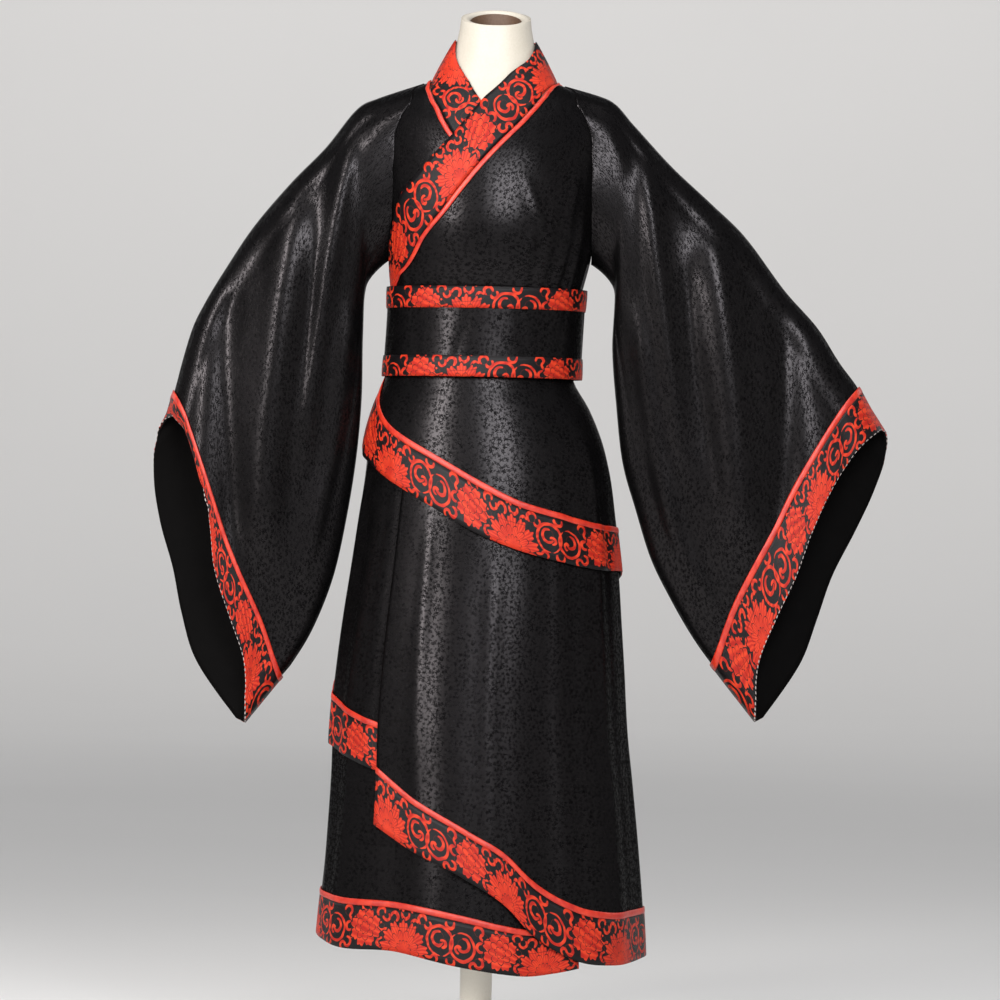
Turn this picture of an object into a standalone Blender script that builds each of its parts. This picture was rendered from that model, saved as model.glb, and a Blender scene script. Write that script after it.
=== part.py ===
"""A black satin hanfu robe with brocade bands, wrapped round a dress form.

Metres, +Z up. The front faces -Y, the floor is Z = 0 and the pole stands on X = Y = 0.
Each cloth piece is an open grid of points with Solidify. Grids come from named surfaces:
the body, given by oval level sections, and the two sleeves, given by stations.
"""

import math

import bmesh
import bpy
import numpy as np

MM = 0.001

# Cloth, in metres. Lifts are distances out from the body's surface
CLOTH = 0.0015
BAND_CLOTH = 0.0012
ON_TOP = 0.0008
ON_TUBE = 0.002
SEAM = 0.0004
LAYER = 0.004
PIPING_WIDTH = 0.008
BODICE_LIFT = 0.0012
OVER_LIFT = 0.0062
FORM_LIFT = -0.0013
FORM_SLIMMER = -0.0035

# Turns are degrees round the body: 0 front, 90 the wearer's left side, 180 back
TURN_STEP = 12.0

# Oval level sections of the body under the cloth: z, half width, half depth, middle x (mm)
BODY = np.array([
    (100, 244, 201, 3), (182, 240, 195, 3), (316, 228, 182, 3), (420, 219, 171, 0),
    (476, 215, 165, -3), (592, 206, 152, -3), (652, 200, 145, -2), (724, 192, 136, 0),
    (800, 182, 128, 0), (882, 171, 119, -1), (913, 166, 114, -4), (964, 149, 104, -8),
    (1010, 127, 93, -12), (1050, 124, 91, -10), (1085, 127, 93, -7), (1120, 133, 98, -5),
    (1150, 139, 103, -3), (1190, 147, 112, -1), (1250, 156, 119, 0), (1300, 162, 115, 0),
    (1350, 166, 104, 0), (1380, 166, 94, 0), (1400, 163, 86, 0), (1415, 157, 79, 0),
    (1430, 145, 71, 0), (1440, 129, 66, 0), (1448, 110, 62, 0), (1456, 91, 59, 0),
    (1470, 76, 57, 0), (1490, 67, 56, 0), (1507, 62, 55, 0), (1540, 55, 52, 0),
    (1575, 52, 50, 0),
]).T * MM

# Steps of turn (degrees) and height (m) across which the body's slope is taken
SLOPE_TURN = 0.5
SLOPE_HEIGHT = 0.001
# Share of its start's height over which a skirt fold grows to its full depth
FOLD_GROWTH = 0.75
# Soft vertical skirt folds: turn, width in turns, height at the hem (mm), z where it starts
SKIRT_FOLDS = (
    (-62, 13, 5, 900), (-33, 9, -4, 760), (-14, 12, 5, 820), (24, 10, -5, 700),
    (47, 12, 6, 860), (74, 11, -5, 720), (112, 14, 6, 880), (143, 12, -6, 780),
    (172, 14, 7, 900), (205, 12, -6, 760), (236, 13, 6, 860), (262, 10, -4, 720),
)

# Armhole edge of the bodice, as turns each side of the front or back: z (mm), turn
ARMHOLE = np.array([
    (1190, 90), (1205, 82), (1230, 75), (1260, 69), (1300, 65), (1350, 63), (1380, 62),
    (1400, 58), (1415, 55), (1430, 57), (1440, 69), (1448, 90),
], float).T
ARMHOLE_GAP = 1.7
ARMHOLE_STEP = 0.0013
ARMPIT_Z = 1190.0
SHOULDER_Z = 1448.0
SHOULDER_IN = 2

# Edge of the over front along the collar seam: z (mm), turn
OVER_EDGE = np.array([
    (1085, -82), (1120, -78), (1152, -71), (1184, -53), (1224, -40), (1256, -28),
    (1286, -19), (1326, -7.5), (1360, 3), (1388, 12.4), (1412, 20.7), (1430, 29),
    (1440, 37), (1448, 52), (1454, 79),
], float).T

# Edge of the under front along its collar seam: z (mm), turn
UNDER_EDGE = np.array([
    (1085, 30), (1150, 27), (1184, 23), (1220, 17), (1260, 10), (1300, 1), (1340, -10),
    (1372, -21), (1392, -26), (1417, -33), (1440, -48), (1448, -60), (1454, -79),
], float).T

# Bodice levels (mm), which the sleeves' first rings share from the armpit up
BODICE_LEVELS = (1086, 1120, 1152, 1190, 1215, 1250, 1290, 1335, 1375, 1405, 1425, 1439,
                 1448, 1454)

# Where the over front starts to lie on the under front, in turns past the under front's edge
OVER_FROM = 28
OVER_LEAST = 8
UNDER_PIPING_ROWS = 8
FRONT_COLUMNS = 8
BACK_COLUMNS = 13
BACK_SHORT = 0.3
PIPING_SHARE = 0.6

# Collar strips: z on the seam, then turn and z of the free edge (mm)
COLLAR_OVER = np.array([
    (1086, -98, 1086), (1152, -84, 1176), (1184, -67, 1238), (1224, -54.7, 1284),
    (1256, -42.4, 1312), (1286, -33.2, 1337), (1326, -20.4, 1373), (1360, -10.6, 1409),
    (1388, -2.5, 1436), (1412, 9.4, 1458), (1438, 29, 1478), (1448, 50, 1493),
    (1454, 79, 1516),
], float).T
COLLAR_UNDER = np.array([
    (1086, 52, 1086), (1150, 47, 1165), (1184, 42, 1208), (1220, 36, 1250),
    (1260, 28, 1298), (1300, 18, 1340), (1340, 8, 1378), (1372, -1, 1404),
    (1392, -6.8, 1423), (1417, -17.7, 1447), (1440, -39, 1470), (1448, -62, 1494),
    (1454, -79, 1519),
], float).T
COLLAR_ACROSS = 4
OVER_STRIP_GAP = -1.3
UNDER_STRIP_GAP = 1.2
SEAM_ABOVE = 0.9
# Collar behind the neck: first and last turn, columns, rise and free edge (mm)
NECK_TURNS = (80.5, 279.5)
NECK_COLUMNS = 17
NECK_RISE = 5
NECK_FREE_Z = 1518
NECK_FREE_RISE = 8

# Outer wrap: turn, z of the piping's top, z of the hem, layers out (turns run on past 270)
OUTER_WRAP = np.array([
    (-132, 1060, 1000, 3), (-110, 1038, 960, 3), (-90, 1003, 913, 3), (-58, 944, 868, 3),
    (-28, 901, 824, 3), (0, 853, 775, 3), (14, 831, 757, 3), (30, 816, 743, 3),
    (54, 799, 730, 2.8), (90, 788, 724, 2.4), (135, 735, 664, 2.2), (180, 668, 594, 2),
    (225, 604, 529, 1.7), (270, 552, 476, 1.3), (300, 516, 446, 1.1), (328, 488, 416, 1),
]).T
# Inner wrap: the same columns
INNER_WRAP = np.array([
    (-42, 434, 348, 2.35), (-27, 394, 316, 2.2), (-5, 344, 272, 2), (11, 303, 227, 1.9),
    (16, 282, 204, 1.9), (28, 249, 169, 1.8), (37, 233, 153, 1.8), (50, 224, 147, 1.6),
    (65, 225, 149, 1.5), (90, 226, 154, 1.3), (135, 217, 146, 1.1), (180, 214, 144, 0.9),
    (225, 226, 158, 0.6), (270, 247, 181, 0.2), (290, 242, 173, 0), (303, 238, 165, 0),
    (330, 236, 164, 0), (355, 219, 144, 0), (368, 207, 136, 0), (377, 201, 133, 0),
    (387, 202, 137, 0), (400, 208, 146, 0),
]).T
# Levels (mm) that all the skirt's layers share, so that their facets nest
SKIRT_LEVELS = (1084, 1048, 1012, 980, 946, 908, 860, 785, 670, 520, 350)
STRIP_WIDTH = 0.068
CLOSED_UP = 0.003
STRETCH_GAP = 0.06
# First and last turn of each stretch of the skirt's wraps
STRETCHES = (
    ("inner_wrap_hem", INNER_WRAP, 270 + STRETCH_GAP, 397),
    ("inner_wrap_back", INNER_WRAP, 90 + STRETCH_GAP, 270 - STRETCH_GAP),
    ("inner_wrap_front", INNER_WRAP, -42, 90 - STRETCH_GAP),
    ("outer_wrap_end", OUTER_WRAP, 270 + STRETCH_GAP, 324),
    ("outer_wrap_back", OUTER_WRAP, 90 + STRETCH_GAP, 270 - STRETCH_GAP),
    ("outer_wrap_front", OUTER_WRAP, -132, 90 - STRETCH_GAP),
)

# Belt: z, half width, half depth, middle x (mm)
BELT = np.array([
    (1014, 151.4, 119.5, -10), (1045, 150.5, 118, -9), (1116, 150.4, 117.5, -6), (1148, 151.6, 118.5, -5),
]).T * MM
BELT_LEVELS = (1147, 1112, 1080, 1049, 1015)
BELT_IN = -0.0042
BELT_BANDS_IN = -0.0021
# Belt bands: name, top and low level (mm)
BELT_BANDS = (("belt_band_bottom", 1045, 1014), ("belt_band_top", 1148, 1116))

# Sleeve stations: top x, top z, low x, low z, depth, lip spread, bulge (mm)
SLEEVE_RIGHT_HAND = np.array([
    (-112, 1450, -160, 1190, 110, 0, 0), (-174, 1429, -187, 1150, 104, 0, 0),
    (-206, 1411, -191, 1075, 100, 0, 4), (-250, 1354, -191, 982, 96, 0, 6),
    (-301, 1300, -197, 893, 92, 0, 8), (-355, 1234, -210, 800, 90, 0, 10),
    (-396, 1170, -228, 712, 88, 0, 12), (-427, 1117, -256, 637, 88, 4, 12),
    (-448, 1070, -285, 586, 88, 8, 12), (-471, 979, -307, 558, 88, 14, 14),
    (-473, 948, -361, 492, 92, 39, 20),
], float).T * MM
SLEEVE_LEFT_HAND = np.array([
    (112, 1450, 160, 1190, 110, 0, 0), (173, 1433, 187, 1150, 104, 0, 0),
    (210, 1396, 186, 1062, 100, 0, 4), (267, 1336, 194, 975, 96, 0, 6),
    (327, 1282, 205, 892, 92, 0, 6), (380, 1232, 226, 822, 90, 0, 4),
    (440, 1154, 250, 750, 88, 0, 0), (490, 1100, 280, 692, 88, 4, -4),
    (525, 1048, 314, 636, 88, 8, -6), (557, 1006, 350, 588, 88, 13, -8),
    (591, 948, 416, 509, 92, 34, -8),
], float).T * MM
SLEEVE_STATIONS = (0, 0.5, 1, 1.5, 2, 2.5, 3, 3.5, 4, 4.5, 5, 5.5, 6, 6.5, 7, 7.5, 8, 8.5,
                   8.9, 9.06, 9.55, 10)
CUFF_PIPING_FROM = 18
CUFF_BAND_FROM = 19
CUFF_PIPING_SHORT = 0.1
# A sleeve's front and back stand this far each side of its top and low edge (m)
SLEEVE_GAP = 0.0002
# Folds reach their full height where the sleeve is this share of its depth, or deeper
FULL_FOLD = 1.4
FLAT_TO_STATION = 1.5

# Share of a sleeve's depth and of its lip spread, from its top edge to its low edge
SLEEVE_DROP = np.array([0, 0.04, 0.1, 0.2, 0.35, 0.5, 0.65, 0.8, 0.92, 1.0])
SLEEVE_DEPTH_SHARE = np.array([0, 0.42, 0.68, 0.9, 1.0, 0.96, 0.84, 0.62, 0.36, 0.0])
LIP_SHARE = np.array([0.1, 0.5, 0.8, 1.0, 1.0, 0.85, 0.95, 0.95, 0.5, 0.1])

# How far a sleeve fold fades out past its top and its low end (m)
FOLD_TOP = (0.04, 0.12)
FOLD_LOW = (0.05, 0.16)

# Sleeve folds: top x, top z, middle x, middle z, low x, low z, width, height, face (mm)
FOLDS_RIGHT_HAND = (
    (-236, 1345, -247, 1200, -292, 800, 15, 11, -1), (-205, 1390, -212, 1150, -222, 820, 13, 9, -1),
    (-300, 1280, -318, 1060, -340, 760, 26, 13, -1), (-372, 1180, -384, 1010, -352, 700, 20, -9, -1),
    (-252, 930, -262, 840, -290, 650, 12, 8, -1), (-236, 1345, -252, 1150, -290, 760, 18, 11, 1),
    (-312, 1270, -330, 1050, -344, 720, 24, 12, 1), (-380, 1170, -396, 1000, -380, 760, 18, -8, 1),
)
FOLDS_LEFT_HAND = (
    (222, 1376, 226, 1200, 232, 900, 13, 10, -1), (258, 1330, 268, 1150, 300, 800, 15, 10, -1),
    (330, 1262, 352, 1050, 376, 780, 26, 13, -1), (420, 1160, 430, 990, 424, 780, 20, -9, -1),
    (214, 960, 244, 830, 330, 660, 12, 8, -1), (240, 1350, 262, 1150, 300, 760, 18, 11, 1),
    (340, 1252, 366, 1040, 386, 740, 24, 12, 1), (440, 1140, 452, 980, 470, 800, 18, -8, 1),
)

# Dress form
FORM_LOW_Z = 0.805
FORM_LEVELS = (0.82, 0.88, 0.94, 1.0, 1.06, 1.12, 1.19, 1.25, 1.30, 1.35, 1.39,
               1.415, 1.43, 1.44, 1.448, 1.456, 1.47, 1.49, 1.515)
FORM_TURNS = 24
FORM_FOOT_IN = -0.014
NECK_TOP_Z = 1.555
NECK_SLANT = 0.015
NECK_WALL = 0.0135
NECK_WELL = 0.055
SLIM_BELOW = 1.32
SLIM_OVER = 0.1
POLE_RADIUS = 0.024
POLE_SIDES = 24
BASE_RADIUS = 0.19
BASE_HEIGHT = 0.012
BASE_SIDES = 40
BASE_EDGE = 0.003
ON_STAND = 0.0003
POLE_CLEAR = 0.0003

# Colours, roughness and metallic value
SATIN = ((0.012, 0.011, 0.013, 1), 0.38, 0.0)
BROCADE = ((0.42, 0.035, 0.02, 1), 0.55, 0.0)
PIPING = ((0.72, 0.06, 0.03, 1), 0.4, 0.0)
IVORY = ((0.86, 0.8, 0.68, 1), 0.45, 0.0)


def smooth(table_x, table_y, x):
    """Cubic interpolation through a table with rising x, flat past its ends."""
    table_x = np.asarray(table_x, float)
    table_y = np.asarray(table_y, float)
    slopes = np.gradient(table_y, table_x)
    x = np.clip(x, table_x[0], table_x[-1])
    k = np.clip(np.searchsorted(table_x, x) - 1, 0, len(table_x) - 2)
    step = table_x[k + 1] - table_x[k]
    t = (x - table_x[k]) / step
    return ((2 * t**3 - 3 * t**2 + 1) * table_y[k] + (t**3 - 2 * t**2 + t) * step * slopes[k]
            + (3 * t**2 - 2 * t**3) * table_y[k + 1] + (t**3 - t**2) * step * slopes[k + 1])


def ease(t):
    t = np.clip(t, 0, 1)
    return t * t * (3 - 2 * t)


def body_point(turn, z, lift=0.0):
    """A point on the body's oval section at height z, moved out along the surface normal."""
    turn, z, lift = np.broadcast_arrays(np.asarray(turn, float), np.asarray(z, float),
                                        np.asarray(lift, float))

    def bare(turn, z):
        angle = np.radians(turn)
        x = smooth(BODY[0], BODY[3], z) + smooth(BODY[0], BODY[1], z) * np.sin(angle)
        y = -smooth(BODY[0], BODY[2], z) * np.cos(angle)
        return np.stack([x, y, z], -1)

    around = bare(turn + SLOPE_TURN, z) - bare(turn - SLOPE_TURN, z)
    upward = bare(turn, z + SLOPE_HEIGHT) - bare(turn, z - SLOPE_HEIGHT)
    normal = np.cross(around, upward)
    normal /= np.linalg.norm(normal, axis=-1, keepdims=True)
    return bare(turn, z) + normal * lift[..., None]


def skirt_fold(turn, z):
    """How far the soft skirt folds move the cloth out at a turn and a height."""
    out = np.zeros(np.broadcast(turn, z).shape)
    for centre, width, height, start in SKIRT_FOLDS:
        away = (turn - centre + 180) % 360 - 180
        share = ease((start * MM - z) / (FOLD_GROWTH * start * MM))
        out = out + height * MM * share * np.exp(-(away / width) ** 2)
    return out


def normals(grid, closed):
    """Outward normals at a grid's points, each the mean of the faces round it."""
    if closed:
        grid = np.concatenate([grid, grid[:, :1]], 1)
    faces = np.cross(grid[1:, 1:] - grid[:-1, :-1], grid[:-1, 1:] - grid[1:, :-1])
    faces /= np.linalg.norm(faces, axis=-1, keepdims=True)
    out = np.zeros(grid.shape)
    for i in (0, 1):
        for j in (0, 1):
            out[i:grid.shape[0] - 1 + i, j:grid.shape[1] - 1 + j] += faces
    if closed:
        out[:, 0] += out[:, -1]
        out = out[:, :-1]
    return out / np.linalg.norm(out, axis=-1, keepdims=True)


def raised(grid, amount, closed=False):
    return grid + normals(grid, closed) * amount


def material(name, look):
    colour, roughness, metallic = look
    made = bpy.data.materials.new(name)
    made.use_nodes = True
    shader = made.node_tree.nodes["Principled BSDF"]
    shader.inputs["Base Color"].default_value = colour
    shader.inputs["Roughness"].default_value = roughness
    shader.inputs["Metallic"].default_value = metallic
    return made


def add(name, mesh, look, root):
    """A named object with its own material, under the root empty."""
    made = bpy.data.objects.new(name, mesh)
    mesh.materials.append(material(name + "_finish", look))
    mesh.shade_smooth()
    root.users_collection[0].objects.link(made)
    made.parent = root
    return made


def sheet(name, grid, thickness, look, root, closed=False):
    """An open grid of points made into a wall of cloth, thickened outward."""
    rows, columns = grid.shape[:2]
    mesh = bpy.data.meshes.new(name)
    faces = []
    for i in range(rows - 1):
        for j in range(columns if closed else columns - 1):
            right = (j + 1) % columns
            faces.append((i * columns + j, (i + 1) * columns + j, (i + 1) * columns + right,
                          i * columns + right))
    mesh.from_pydata(grid.reshape(-1, 3).tolist(), [], faces)
    made = add(name, mesh, look, root)
    wall = made.modifiers.new("Wall", "SOLIDIFY")
    wall.thickness = thickness
    wall.offset = 1.0
    return made


def wall(name, inner, outer, look, root):
    """A wall of cloth between an inner and an outer grid of points."""
    rows, columns = inner.shape[:2]
    count = rows * columns
    faces = []
    for i in range(rows - 1):
        for j in range(columns - 1):
            corner = i * columns + j
            across = corner + columns + 1
            for one in ((corner, corner + columns, across), (corner, across, corner + 1)):
                faces.append(one[::-1])
                faces.append(tuple(count + place for place in one))
    order = np.arange(count).reshape(rows, columns)
    rim = [*order[0], *order[1:, -1], *order[-1, -2::-1], *order[-2:0:-1, 0]]
    for place, following in zip(rim, rim[1:] + rim[:1]):
        faces.append((count + place, count + following, following, place))
    mesh = bpy.data.meshes.new(name)
    points = np.concatenate([inner.reshape(-1, 3), outer.reshape(-1, 3)])
    mesh.from_pydata(points.tolist(), [], [tuple(int(place) for place in face) for face in faces])
    return add(name, mesh, look, root)


def trim(name, grid, rows, columns, thickness, look, root, closed=False):
    """A strip that lies on a panel: part of the panel's grid, moved out past its cloth."""
    lifted = raised(grid, CLOTH + (ON_TUBE if closed else ON_TOP), closed)
    return sheet(name, lifted[rows, columns], thickness, look, root, closed)


def wrap_grid(wrap, turns):
    """Grid of one stretch of a skirt wrap. Its last four rows are the piping and band.

    Above the piping the rows keep to the shared levels, and close up where the piping cuts
    across them.
    """
    table_turn, piping, hem, layer = wrap
    top = smooth(table_turn, piping, turns) * MM
    low = smooth(table_turn, hem, turns) * MM
    width = PIPING_WIDTH * (top - low) / STRIP_WIDTH
    levels = [level * MM for level in SKIRT_LEVELS if level * MM > top.min()]
    rows = []
    for k, level in enumerate(levels):
        rows.append(np.maximum(level, top + CLOSED_UP * (len(levels) - k)))
    rows += [top, top - width, top - width - 2 * SEAM, (top + low - width) / 2, low]
    z = np.array(rows)
    lift = smooth(table_turn, layer, turns)[None, :] * LAYER + CLOTH + skirt_fold(turns[None, :], z)
    return body_point(turns[None, :], z, lift)


def skirt_stretch(name, wrap, first, last, root):
    """A stretch of skirt wrap with its piping and its brocade band."""
    inside = np.arange(math.floor(first / TURN_STEP) + 1, math.ceil(last / TURN_STEP)) * TURN_STEP
    turns = np.concatenate([[first], inside, [last]])
    grid = wrap_grid(wrap, turns)
    everywhere = slice(None)
    sheet(name, np.delete(grid, -3, axis=0), CLOTH, SATIN, root)
    trim(name + "_piping", grid, slice(-5, -3), everywhere, CLOTH, PIPING, root)
    trim(name + "_band", grid, slice(-3, None), everywhere, BAND_CLOTH, BROCADE, root)


def make_skirt(root):
    for name, wrap, first, last in STRETCHES:
        skirt_stretch(name, wrap, first, last, root)


def armhole_turn(level):
    """The turn of the armhole edge at a level, or of the side seam below the armpit."""
    return smooth(ARMHOLE[0], ARMHOLE[1], level)


def over_lift(turn, level):
    """The over front lies on the under front, and comes down to the form at the shoulder."""
    under = smooth(UNDER_EDGE[0], UNDER_EDGE[1], level) + OVER_FROM
    side = np.maximum(armhole_turn(level), under + OVER_LEAST)
    share = ease((side - turn) / (side - under))
    return BODICE_LIFT + (OVER_LIFT - BODICE_LIFT) * share


def front_grid(edge, side, lift):
    """Grid of a bodice front between its collar seam and its side seam or armhole.

    side is 1 for the over front and -1 for the under front. Column 0 to 1 is the piping.
    """
    rows = []
    for level in reversed(BODICE_LEVELS):
        seam = float(smooth(edge[0], edge[1], level))
        arm = side * armhole_turn(level)
        reach = smooth(BODY[0], BODY[1], level * MM) * math.radians(1)
        narrow = side * min(PIPING_WIDTH / reach, PIPING_SHARE * abs(arm - seam))
        turns = np.concatenate([[seam], np.linspace(seam + narrow, arm, FRONT_COLUMNS)])
        rows.append(body_point(turns, level * MM, lift(turns, level)))
    grid = np.array(rows)
    return grid if side > 0 else grid[:, ::-1]


def flat_lift(turn, level):
    return np.full(np.shape(turn), BODICE_LIFT)


def make_bodice(root):
    over = front_grid(OVER_EDGE, 1, over_lift)
    sheet("front_over", over, CLOTH, SATIN, root)
    trim("collar_piping_over", over, slice(None), slice(0, 2), CLOTH, PIPING, root)
    under = front_grid(UNDER_EDGE, -1, flat_lift)
    sheet("front_under", under, CLOTH, SATIN, root)
    trim("collar_piping_under", under, slice(0, UNDER_PIPING_ROWS), slice(-2, None), CLOTH, PIPING, root)
    rows = []
    for level in reversed(BODICE_LEVELS):
        half = armhole_turn(level) - BACK_SHORT
        turns = 180 + np.linspace(-half, half, BACK_COLUMNS)
        z = neck_level(turns) if level == BODICE_LEVELS[-1] else level
        rows.append(body_point(turns, z * MM, BODICE_LIFT))
    back = np.array(rows)
    sheet("back_bodice", back, CLOTH, SATIN, root)
    trim("collar_piping_back", back, slice(0, 2), slice(None), CLOTH, PIPING, root)


def strip_grid(seam_turn, seam_z, free_turn, free_z, lift):
    """A collar strip: on the body where that is outermost, straight where it stands off."""
    across = np.linspace(0, 1, COLLAR_ACROSS + 1)[None, :]
    turn = seam_turn[:, None] + (free_turn - seam_turn)[:, None] * across
    z = seam_z[:, None] + (free_z - seam_z)[:, None] * across
    laid = body_point(turn, z, lift(turn, z / MM))
    ruled = laid[:, :1] + (laid[:, -1:] - laid[:, :1]) * across[..., None]
    outer = np.hypot(ruled[..., 0], ruled[..., 1]) > np.hypot(laid[..., 0], laid[..., 1])
    return np.where(outer[..., None], ruled, laid)


def collar_strip(name, table, edge, gap, lift, root):
    seam = np.array(BODICE_LEVELS[::-1], float)
    seam_turn = smooth(edge[0], edge[1], seam) + gap
    free_turn = smooth(table[0], table[1], seam)
    free_level = smooth(table[0], table[2], seam)
    grid = strip_grid(seam_turn, (seam + SEAM_ABOVE) * MM, free_turn, free_level * MM, lift)
    if gap < 0:
        grid = grid[:, ::-1]
    sheet(name, grid, CLOTH, BROCADE, root)


def neck_level(turn):
    """Level of the neck seam round the back (mm), a little higher behind than at the sides."""
    return BODICE_LEVELS[-1] + NECK_RISE * np.sin(np.radians(turn - 90)) ** 2


def make_collar(root):
    collar_strip("collar_over", COLLAR_OVER, OVER_EDGE, OVER_STRIP_GAP, over_lift, root)
    collar_strip("collar_under", COLLAR_UNDER, UNDER_EDGE, UNDER_STRIP_GAP, flat_lift, root)
    turns = np.linspace(*NECK_TURNS, NECK_COLUMNS)
    seam = neck_level(turns) + SEAM_ABOVE
    free = NECK_FREE_Z + NECK_FREE_RISE * np.sin(np.radians(turns - 90)) ** 2
    grid = strip_grid(turns, seam * MM, turns, free * MM, flat_lift)
    sheet("collar_back", grid.transpose(1, 0, 2)[::-1], CLOTH, BROCADE, root)


def make_belt(root):
    turns = np.arange(0, 360, TURN_STEP)

    def ring(levels, lift):
        rows = []
        for level in levels:
            half, depth, middle = (smooth(BELT[0], BELT[k], level * MM) for k in (1, 2, 3))
            angle = np.radians(turns)
            x = middle + (half + lift) * np.sin(angle)
            rows.append(np.stack([x, -(depth + lift) * np.cos(angle), np.full(len(turns), level * MM)], -1))
        return np.array(rows)

    sheet("belt_panel", ring(BELT_LEVELS, BELT_IN), CLOTH, SATIN, root, closed=True)
    for name, top, low in BELT_BANDS:
        sheet(name, ring((top, low), BELT_BANDS_IN), BAND_CLOTH, BROCADE, root, closed=True)


def armhole_ring(hand):
    """The sleeve's first ring, along the armhole: top, down the front, armpit, up the back."""
    levels = [level for level in reversed(BODICE_LEVELS) if ARMPIT_Z < level < SHOULDER_Z]
    lift = BODICE_LIFT + ARMHOLE_STEP
    front = [body_point(hand * (armhole_turn(level) + ARMHOLE_GAP), level * MM, lift)
             for level in levels]
    back = [body_point(hand * (180 - armhole_turn(level) - ARMHOLE_GAP), level * MM, lift)
            for level in reversed(levels)]
    top = body_point(hand * 90, (SHOULDER_Z - SHOULDER_IN) * MM, lift)
    armpit = body_point(hand * 90, ARMPIT_Z * MM, lift + CLOTH)
    drops = [(SHOULDER_Z - level) / (SHOULDER_Z - ARMPIT_Z) for level in levels]
    return np.array([top, *front, armpit, *back]), [0.0, *drops, 1.0]


def fold_height(folds, face, x, z):
    """How far the folds on one face move the cloth out at a place in the sleeve's flat plane."""
    out = np.zeros(np.shape(x))
    for x1, z1, x2, z2, x3, z3, width, height, side in folds:
        if side != face:
            continue
        centre = smooth([z3 * MM, z2 * MM, z1 * MM], [x3 * MM, x2 * MM, x1 * MM], z)
        fade = ease((z1 * MM - z + FOLD_TOP[0]) / FOLD_TOP[1])
        fade = fade * ease((z - z3 * MM + FOLD_LOW[0]) / FOLD_LOW[1])
        out = out + height * MM * fade * np.exp(-((x - centre) / (width * MM)) ** 2)
    return out


def sleeve_grid(table, folds, hand):
    """Rings of a sleeve from the armhole to the cuff."""
    first, drops = armhole_ring(hand)
    stations = np.arange(table.shape[1])
    w = np.array([*drops, *drops[-2:0:-1]])
    face = np.array([-1.0] * len(drops) + [1.0] * (len(drops) - 2))
    share = smooth(SLEEVE_DROP, SLEEVE_DEPTH_SHARE, w)
    rings = [first]
    for station in SLEEVE_STATIONS[1:]:
        top_x, top_z, low_x, low_z, depth, spread, bulge = (
            smooth(stations, row, station) for row in table)
        x = top_x + (low_x - top_x) * w
        x = x + hand * (bulge * np.sin(math.pi * w) + face * spread * smooth(SLEEVE_DROP, LIP_SHARE, w))
        z = top_z + (low_z - top_z) * w
        y = face * depth / 2 * share
        folded = np.minimum(share * FULL_FOLD, 1)
        for one in (-1, 1):
            y = y + one * (face == one) * folded * fold_height(folds, one, x, z)
        near = ease(station / FLAT_TO_STATION)
        y = y * near + first[:, 1] * (1 - near)
        rings.append(np.stack([x, y, z], -1))
    return np.array(rings)


def make_sleeves(root):
    for name, table, folds, hand in (("right", SLEEVE_RIGHT_HAND, FOLDS_RIGHT_HAND, -1),
                                     ("left", SLEEVE_LEFT_HAND, FOLDS_LEFT_HAND, 1)):
        grid = sleeve_grid(table, folds, hand)
        faces = ("_front", "_back")
        if hand > 0:
            grid = np.roll(grid[:, ::-1], 1, axis=1)
            faces = faces[::-1]
        panel = np.delete(grid, CUFF_BAND_FROM, axis=0)
        walls = [np.concatenate([side, side[:, :1]], 1) for side in (panel, raised(panel, CLOTH, True))]
        low = panel.shape[1] // 2
        for face, columns in zip(faces, (slice(0, low + 1), slice(low, None))):
            halves = [side[:, columns].copy() for side in walls]
            for half in halves:
                half[:, [0, -1], 1] += SLEEVE_GAP if face == "_back" else -SLEEVE_GAP
            wall("sleeve_" + name + face, *halves, SATIN, root)
        piping = grid.copy()
        piping[CUFF_BAND_FROM] -= (grid[CUFF_BAND_FROM] - grid[CUFF_PIPING_FROM]) * CUFF_PIPING_SHORT
        trim("cuff_piping_" + name, piping, slice(CUFF_PIPING_FROM, CUFF_BAND_FROM + 1), slice(None),
             CLOTH, PIPING, root, closed=True)
        trim("cuff_band_" + name, grid, slice(CUFF_BAND_FROM, None), slice(None), BAND_CLOTH,
             BROCADE, root, closed=True)


def make_form(root):
    """Torso with a slanted neck and a well in it: one turned skin, closed at both ends."""
    turns = np.arange(FORM_TURNS) * 360 / FORM_TURNS
    foot = body_point(turns, np.full(FORM_TURNS, FORM_LOW_Z), FORM_FOOT_IN)
    foot[:, 2] = FORM_LOW_Z
    rings = [foot]
    for z in FORM_LEVELS:
        slim = FORM_LIFT + (FORM_SLIMMER - FORM_LIFT) * ease((SLIM_BELOW - z) / SLIM_OVER)
        rings.append(body_point(turns, np.full(FORM_TURNS, z), slim))
    rim = body_point(turns, np.full(FORM_TURNS, NECK_TOP_Z), FORM_LIFT)
    slant = rim[:, 1:2] / abs(rim[:, 1]).max() * NECK_SLANT
    rim[:, 2:] += slant
    narrower = 1 - NECK_WALL / abs(rim[:, 0]).max()
    inner = rim * (narrower, narrower, 1)
    rings += [rim, inner, inner - (0, 0, NECK_WELL)]
    mesh = bpy.data.meshes.new("form_torso")
    cage = bmesh.new()
    loops = [[cage.verts.new(point) for point in ring] for ring in rings]
    for lower, upper in zip(loops, loops[1:]):
        for j in range(FORM_TURNS):
            k = (j + 1) % FORM_TURNS
            cage.faces.new((lower[j], lower[k], upper[k], upper[j]))
    cage.faces.new(loops[0][::-1])
    cage.faces.new(loops[-1])
    bmesh.ops.recalc_face_normals(cage, faces=cage.faces)
    cage.to_mesh(mesh)
    cage.free()
    add("form_torso", mesh, IVORY, root)


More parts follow.
